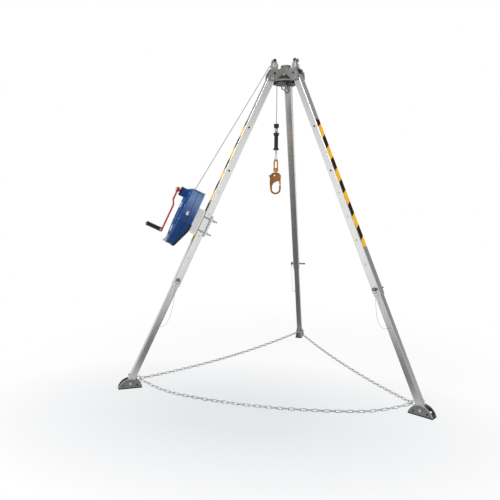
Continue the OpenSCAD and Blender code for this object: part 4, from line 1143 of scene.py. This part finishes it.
# Crank in the left leg's frame, and its turned pieces as (radius, height) pairs
CRANK_X = 0.9211
CRANK_Y = -0.050
CRANK_TOP = 0.2495
GRIP_X = 1.2031
GRIP_LOW = 0.230
BOSS_RING = ((0.0295, 0.2125), (0.0304, 0.2125), (0.0308, 0.2135), (0.0308, 0.2195), (0.0300, 0.2214),
             (0.0180, 0.2218))
CRANK_CAP = ((0.0110, -0.0020), (0.0110, 0.0010), (0.0098, 0.0030), (0.0060, 0.0046), (0.0010, 0.0050))
GRIP_COLLAR = ((0.0156, -0.0004), (0.0166, 0.0002), (0.0166, 0.0066), (0.0150, 0.0072))


def housing_edge():
    """Points of the winch housing's outline with the way out at each."""
    turns = []
    for k, near in enumerate(HOUSING):
        far = HOUSING[(k + 1) % len(HOUSING)]
        gap = math.hypot(far[0] - near[0], far[1] - near[1])
        lean = math.asin((far[2] - near[2]) / gap)
        turns.append(math.atan2(far[1] - near[1], far[0] - near[0]) - math.pi / 2 - lean)
    edge = []
    for k, (x, y, radius) in enumerate(HOUSING):
        start = turns[k - 1]
        stop = turns[k]
        while stop < start:
            stop += 2 * math.pi
        for j in range(HOUSING_STEPS):
            turn = start + (stop - start) * j / (HOUSING_STEPS - 1)
            out_x = math.cos(turn)
            out_y = math.sin(turn)
            edge.append((x + radius * out_x, y + radius * out_y, out_x, out_y))
    return edge


def lower_edge(edge):
    """The lower end of the housing's outline in finer steps."""
    low = [spot for spot in edge if spot[0] > HOUSING_END - SLANT_LEN - BUMPER_MORE]
    fine = []
    for near, far in zip(low, low[1:]):
        for j in range(BUMPER_STEPS):
            fine.append(tuple(near[m] + (far[m] - near[m]) * j / BUMPER_STEPS for m in range(4)))
    fine.append(low[-1])
    return fine


def rear_height(x):
    """Height of the housing's rear side at a place along the leg."""
    return HOUSING_LOW + max(0.0, x - HOUSING_END + SLANT_LEN) * SLANT_DEEP / SLANT_LEN


def seam_height(x):
    """Height of the seam between the housing's halves, the same all round."""
    return HOUSING_SEAM


def top_height(x):
    """Height of the housing's outer face, the same all round."""
    return HOUSING_TOP


class TRIPOD_OT_winch_trim(bpy.types.Operator):
    """Adds the winch's seam, lip with a painted highlight, edge strip, blank plates, a clamp pad of painted
    shade, screws and crank fittings
    """

    bl_idname = "tripod.winch_trim"
    bl_label = "Winch trim"

    def execute(self, context):
        leg = leg_matrix("left")
        edge = housing_edge()
        black = finish("black_plastic")
        seam = band_piece("winch_seam", leg, edge, SEAM, seam_height, black)
        fit(seam, "leg_upper_left")
        # Painted highlight: the lip is given a lighter blue than the housing
        lip = band_piece("winch_lip", leg, edge, LIP, top_height, finish("blue_light"))
        fit(lip, "leg_upper_left")
        low = lower_edge(edge)
        bumper = band_piece("winch_bumper", leg, low, BUMPER, rear_height, finish("rubber"), False)
        fit(bumper, "leg_upper_left")
        for name, (slot, kind, corner, other) in WINCH_BLOCKS.items():
            fit(block_piece(name, leg, corner, other, finish(kind)), "leg_upper_left")
        for number, (x, y) in enumerate(SCREWS):
            place = leg @ Matrix.Translation((x, y, HOUSING_TOP))
            screw = button("winch_screw_" + str(number + 1), place, SCREW_R, SCREW_H, finish("zinc"))
            fit(screw, "leg_upper_left")
        crank = leg @ Matrix.Translation((CRANK_X, CRANK_Y, 0))
        ring = lathe_piece("winch_boss_ring", crank, BOSS_RING, black, sides=56)
        fit(ring, "leg_upper_left")
        top = crank @ Matrix.Translation((0, 0, CRANK_TOP))
        fit(lathe_piece("crank_cap", top, CRANK_CAP, finish("bright"), sides=36), "winch_crank")
        grip = leg @ Matrix.Translation((GRIP_X, CRANK_Y, GRIP_LOW))
        fit(lathe_piece("grip_collar", grip, GRIP_COLLAR, finish("zinc"), sides=40), "grip")
        refinish("winch_clamp", "rim", leg, self.on_strip)
        refinish("housing_front", "blue_satin", leg, self.on_face)
        return {"FINISHED"}

    def on_strip(self, spot):
        """Whether a place in the leg's frame is on the clamp's inner strip, which is brighter."""
        return spot.z < 0

    def on_face(self, spot):
        """Whether a place in the leg's frame is on the winch's outer face, which has a satin coat."""
        return spot.z > HOUSING_TOP - 0.001


# Sloping panel between two leg lugs, as (radius, height) of its upper and lower edges about the head's middle
PANEL_TOP = (0.0545, 0.0320)
PANEL_LOW = (0.0785, -0.0003)
PANEL_OUT = Vector((0.802, 0, 0.597))
# Half the width of a panel's inlay at its upper edge, how much more at its lower one, and its two faces
INLAY_HALF = 0.013
INLAY_MORE = 0.030
INLAY_FACES = (0.0002, 0.0011)
INLAY_ROWS = 9
INLAY_COLUMNS = 15
# Legs over which a pulley sits, outer face of its bracket from its middle, and its axle's washer
PULLEY_LEGS = ("left", "right")
BRACKET_OUT = 0.015
AXLE_R = 0.0062
WASHER_R = 0.0150
WASHER_T = 0.0022
WASHER = ((AXLE_R, 0.0001), (WASHER_R, 0.0001), (WASHER_R, 0.6 * WASHER_T), (0.94 * WASHER_R, WASHER_T),
          (AXLE_R, WASHER_T))


class TRIPOD_OT_head_trim(bpy.types.Operator):
    """Adds the dark inlays on the head's three sloping panels and the bright axle washers of the pulleys"""

    bl_idname = "tripod.head_trim"
    bl_label = "Head trim"

    def execute(self, context):
        refinish("pulley_bolts", "bright", Matrix.Identity(4), self.on_axle)
        for leg in PULLEY_LEGS:
            for number, side in enumerate((1, -1)):
                place = head_matrix(leg) @ Matrix.Translation((PULLEY_R, side * BRACKET_OUT, PULLEY_Z))
                place = place @ Matrix.Rotation(-side * math.pi / 2, 4, "X")
                name = "axle_washer_" + leg + "_" + str(number + 1)
                fit(lathe_piece(name, place, WASHER, finish("rim"), sides=44), "head")
        for leg in LEGS:
            fit(self.inlay(leg), "head")
        return {"FINISHED"}

    def on_axle(self, spot):
        """Whether a place is on the axle of a pulley, which is bright."""
        for leg in PULLEY_LEGS:
            flat = head_matrix(leg).inverted() @ spot
            if math.hypot(flat.x - PULLEY_R, flat.z - PULLEY_Z) < WASHER_R:
                return True
        return False

    def inlay(self, leg):
        """A thin curved plate on the panel next to a leg, made of rings that go over it and back under it."""
        place = head_matrix(leg) @ Matrix.Rotation(math.radians(60), 4, "Z")
        columns = range(INLAY_COLUMNS)
        verts = []
        for i in range(INLAY_ROWS):
            t = i / (INLAY_ROWS - 1)
            radius = PANEL_TOP[0] + (PANEL_LOW[0] - PANEL_TOP[0]) * t
            height = PANEL_TOP[1] + (PANEL_LOW[1] - PANEL_TOP[1]) * t
            half = INLAY_HALF + INLAY_MORE * t
            for lift, order in zip(INLAY_FACES, (columns, reversed(columns))):
                spot = Vector((radius, 0, height)) + PANEL_OUT * lift
                for j in order:
                    turn = (2 * j / (INLAY_COLUMNS - 1) - 1) * half / radius
                    verts.append(place @ (Matrix.Rotation(turn, 4, "Z") @ spot))
        ring = 2 * INLAY_COLUMNS
        faces = ring_faces(INLAY_ROWS, ring)[:-2]
        for base in (0, (INLAY_ROWS - 1) * ring):
            for j in range(INLAY_COLUMNS - 1):
                faces.append((base + j, base + j + 1, base + ring - 2 - j, base + ring - 1 - j))
        return new_piece("head_inlay_" + leg, verts, faces, [finish("inlay")])


# Shoe in a foot's frame
SHOE_H = 0.062
SHOE_LEN = 0.148
SOLE_T = 0.006
CHEEK_OUT = 0.027
CHEEK_T = 0.005
# Rim on a cheek's edge as (way across, rise) pairs, its steps, and the share of the edge that it covers
RIM = ((-0.0026, -0.0006), (-0.0026, 0.0002), (-0.0022, 0.0005), (0.0022, 0.0005), (0.0026, 0.0002),
       (0.0026, -0.0006))
RIM_STEPS = 32
RIM_SHARE = 0.98


class TRIPOD_OT_shoe_trim(bpy.types.Operator):
    """Adds the polished rim on the edge of each shoe cheek"""

    bl_idname = "tripod.shoe_trim"
    bl_label = "Shoe trim"

    def execute(self, context):
        for leg in LEGS:
            for number, side in enumerate((1, -1)):
                piece = self.rim(leg, side, "shoe_rim_" + leg + "_" + str(number + 1))
                fit(piece, "foot_" + leg)
        return {"FINISHED"}

    def rim(self, leg, side, name):
        """A thin bright strip on the round edge of a cheek."""
        place = foot_matrix(leg)
        rise = SHOE_H - SOLE_T
        bow = (rise * rise + SHOE_LEN * SHOE_LEN / 4) / (2 * rise)
        half_turn = RIM_SHARE * math.asin(SHOE_LEN / 2 / bow)
        y = side * (CHEEK_OUT - CHEEK_T / 2)
        line = []
        for k in range(RIM_STEPS + 1):
            turn = half_turn * (2 * k / RIM_STEPS - 1)
            line.append(place @ Vector((bow * math.sin(turn), y, SHOE_H - bow + bow * math.cos(turn))))
        across = (place.to_3x3() @ Vector((0, 1, 0))).normalized()
        verts = []
        for point, way in zip(line, line_ways(line)):
            out = across.cross(way).normalized()
            if out.z < 0:
                out = -out
            for shift, lift in RIM:
                verts.append(point + across * shift + out * lift)
        return new_piece(name, verts, ring_faces(len(line), len(RIM)), [finish("rim")])


# Half the floor's width, and its height just under the soles
FLOOR_HALF = 40.0
FLOOR_Z = -0.0004
# Middle, reach and tone of the soft painted shadow on the floor under the tripod
PAINTED_SHADOW_SPOT = (-0.12, -1.0, 0.0)
PAINTED_SHADOW_SIZE = (1.5, 0.95, 1.0)
PAINTED_SHADOW_TONE = (0.80, 0.812, 0.84)
# Middle and reach of the dark patch that the back leg mirrors
DARK_SPOT = (0.0, -1.15, 0.0)
DARK_SIZE = (0.5, 1.85, 1.0)
# Tones of the studio: as it lights the tripod, and the far right corner as metal mirrors it
ROOM_TONE = (0.46, 0.46, 0.46)
CORNER_TONE = (0.42, 0.43, 0.44)
# Lamps: place, the point each looks at, size and power
LAMPS = {
    "key": ((-1.6, -4.8, 4.8), (0, 0, 1.1), 2.4, 120.0),
    "fill": ((-4.8, -2.0, 2.6), (0, 0, 1.0), 3.0, 36.0),
    "rim": ((1.4, 4.8, 4.4), (0, 0, 1.2), 2.4, 60.0),
}
# Camera: its angle round the tripod and turns in degrees, distance and height in hinge heights
CAMERA_AROUND = 8.99
CAMERA_YAW = 3.61
CAMERA_PITCH = 5.56
CAMERA_ROLL = 0.59
CAMERA_AWAY = 1.7940
CAMERA_HEIGHT = 0.6074
# Focal length in widths of the picture
CAMERA_FOCUS = 523.38 / 500
SENSOR = 36.0


class TRIPOD_OT_stage(bpy.types.Operator):
    """Makes the floor, the light and the camera"""

    bl_idname = "tripod.stage"
    bl_label = "Stage"

    def execute(self, context):
        corners = []
        for x, y in ((-1, -1), (1, -1), (1, 1), (-1, 1)):
            corners.append((x * FLOOR_HALF, y * FLOOR_HALF, FLOOR_Z))
        floor = new_piece("floor", corners, [(0, 1, 2, 3)], [self.floor_finish()], None, False)
        self.light(context.scene)
        self.camera(context.scene)
        context.scene.view_settings.view_transform = "Standard"
        return {"FINISHED"}

    def floor_finish(self):
        """White to the camera with a soft painted shadow under the tripod, and dimmer where metal mirrors it.
        """
        mat = bpy.data.materials.new("pale_floor")
        mat.use_nodes = True
        tree = mat.node_tree
        shader = tree.nodes["Principled BSDF"]
        shader.inputs["Base Color"].default_value = (0.92, 0.92, 0.92, 1.0)
        shader.inputs["Roughness"].default_value = 0.9
        path = tree.nodes.new("ShaderNodeLightPath").outputs
        spot = tree.nodes.new("ShaderNodeNewGeometry").outputs["Position"]
        away = length_node(tree, spot)
        # Painted shadow: what the camera sees of the floor is tinted darker in an oval under the tripod
        under = range_node(tree, self.oval(tree, spot, PAINTED_SHADOW_SPOT, PAINTED_SHADOW_SIZE), 0.2, 1.1)
        clear = tree.nodes.new("ShaderNodeBsdfTransparent")
        tree.links.new(mix_colour(tree, under, PAINTED_SHADOW_TONE, WHITE), clear.inputs["Color"])
        white = range_node(tree, away, 1.0, 2.1, 0.90, 1.0)
        seen = math_node(tree, "MULTIPLY", path["Is Camera Ray"], white)
        paper = mix_shader(tree, seen, shader.outputs["BSDF"], clear.outputs["BSDF"])
        near = range_node(tree, self.oval(tree, spot, DARK_SPOT, DARK_SIZE), 0.95, 1.5, 0.08, 0.62)
        far = range_node(tree, away, 2.5, 6.0, 1.0, 1.5)
        dim = tree.nodes.new("ShaderNodeEmission")
        dim.inputs["Color"].default_value = (*WHITE, 1.0)
        tree.links.new(math_node(tree, "MULTIPLY", near, far), dim.inputs["Strength"])
        shown = mix_shader(tree, path["Is Glossy Ray"], paper, dim.outputs["Emission"])
        tree.links.new(shown, tree.nodes["Material Output"].inputs["Surface"])
        return mat

    def oval(self, tree, spot, middle, size):
        """Distance on the floor from a middle, 1 on an oval of that size."""
        squeeze = tree.nodes.new("ShaderNodeMapping")
        squeeze.vector_type = "TEXTURE"
        squeeze.inputs["Location"].default_value = middle
        squeeze.inputs["Scale"].default_value = size
        tree.links.new(spot, squeeze.inputs["Vector"])
        return length_node(tree, squeeze.outputs["Vector"])

    def light(self, scene):
        """A room that is white to the camera and that metal mirrors darker upwards, and three soft lamps."""
        world = bpy.data.worlds.new("soft studio")
        scene.world = world
        world.use_nodes = True
        tree = world.node_tree
        sky = tree.nodes["Background"]
        path = tree.nodes.new("ShaderNodeLightPath").outputs
        split = tree.nodes.new("ShaderNodeSeparateXYZ")
        tree.links.new(tree.nodes.new("ShaderNodeTexCoord").outputs["Generated"], split.inputs["Vector"])
        to_right = range_node(tree, split.outputs["X"], 0.55, 0.9)
        to_back = range_node(tree, split.outputs["Y"], -0.1, 0.4)
        upward = range_node(tree, split.outputs["Z"], 0.09, 0.21, 0.96, 0.30)
        corner = math_node(tree, "MULTIPLY", to_right, to_back)
        mirrored = mix_colour(tree, corner, WHITE, CORNER_TONE)
        walls = mix_colour(tree, 1.0, mirrored, upward, "MULTIPLY")
        soft = mix_colour(tree, path["Is Glossy Ray"], ROOM_TONE, walls)
        tree.links.new(mix_colour(tree, path["Is Camera Ray"], soft, WHITE), sky.inputs["Color"])
        sky.inputs["Strength"].default_value = 1.0
        for name, (spot, aim, size, power) in LAMPS.items():
            data = bpy.data.lights.new(name, "AREA")
            data.size = size
            data.energy = power
            lamp = link_object(name, data)
            lamp.visible_glossy = name == "key"
            turn = (Vector(aim) - Vector(spot)).to_track_quat("-Z", "Y")
            lamp.matrix_world = Matrix.Translation(spot) @ turn.to_matrix().to_4x4()

    def camera(self, scene):
        """A camera in front of the tripod, a little over half as high as the head's hinges."""
        middle = hinge_middle()
        around = math.radians(CAMERA_AROUND)
        pitch = math.radians(CAMERA_PITCH)
        roll = math.radians(CAMERA_ROLL)
        away = CAMERA_AWAY * middle.z
        spot = middle + Vector((away * math.sin(around), -away * math.cos(around), 0))
        spot.z = CAMERA_HEIGHT * middle.z
        heading = around + math.radians(CAMERA_YAW)
        ahead = Vector((-math.sin(heading), math.cos(heading), 0))
        right = Vector((math.cos(heading), math.sin(heading), 0))
        look = ahead * math.cos(pitch) - UP * math.sin(pitch)
        over = UP * math.cos(pitch) + ahead * math.sin(pitch)
        x_axis = right * math.cos(roll) + over * math.sin(roll)
        y_axis = over * math.cos(roll) - right * math.sin(roll)
        data = bpy.data.cameras.new("camera")
        data.sensor_width = SENSOR
        data.lens = CAMERA_FOCUS * SENSOR
        camera = link_object("camera", data)
        camera.matrix_world = axes_matrix(spot, x_axis, y_axis, -look)
        scene.camera = camera


class TRIPOD_PT_pieces(bpy.types.Panel):
    """Lists the pieces of the tripod"""

    bl_idname = "TRIPOD_PT_pieces"
    bl_label = "Rescue tripod"
    bl_space_type = "VIEW_3D"
    bl_region_type = "UI"
    bl_category = "Tripod"

    def draw(self, context):
        for maker in OPERATORS:
            self.layout.operator(maker.bl_idname)


OPERATORS = (TRIPOD_OT_stage, TRIPOD_OT_finishes, TRIPOD_OT_wire_rope, TRIPOD_OT_lanyards,
             TRIPOD_OT_base_chain, TRIPOD_OT_tape, TRIPOD_OT_winch_trim, TRIPOD_OT_head_trim,
             TRIPOD_OT_shoe_trim)
CLASSES = (TripodSizes, TripodColours) + OPERATORS + (TRIPOD_PT_pieces,)


def register():
    for kind in CLASSES:
        bpy.utils.register_class(kind)
    bpy.types.Scene.tripod_sizes = bpy.props.PointerProperty(type=TripodSizes)
    bpy.types.Scene.tripod_colours = bpy.props.PointerProperty(type=TripodColours)


def unregister():
    del bpy.types.Scene.tripod_colours
    del bpy.types.Scene.tripod_sizes
    for kind in reversed(CLASSES):
        bpy.utils.unregister_class(kind)


def main():
    register()
    bpy.ops.tripod.stage()
    bpy.ops.tripod.finishes()
    bpy.ops.tripod.wire_rope()
    bpy.ops.tripod.lanyards()
    bpy.ops.tripod.base_chain()
    bpy.ops.tripod.tape()
    bpy.ops.tripod.winch_trim()
    bpy.ops.tripod.head_trim()
    bpy.ops.tripod.shoe_trim()


if __name__ == "__main__":
    main()
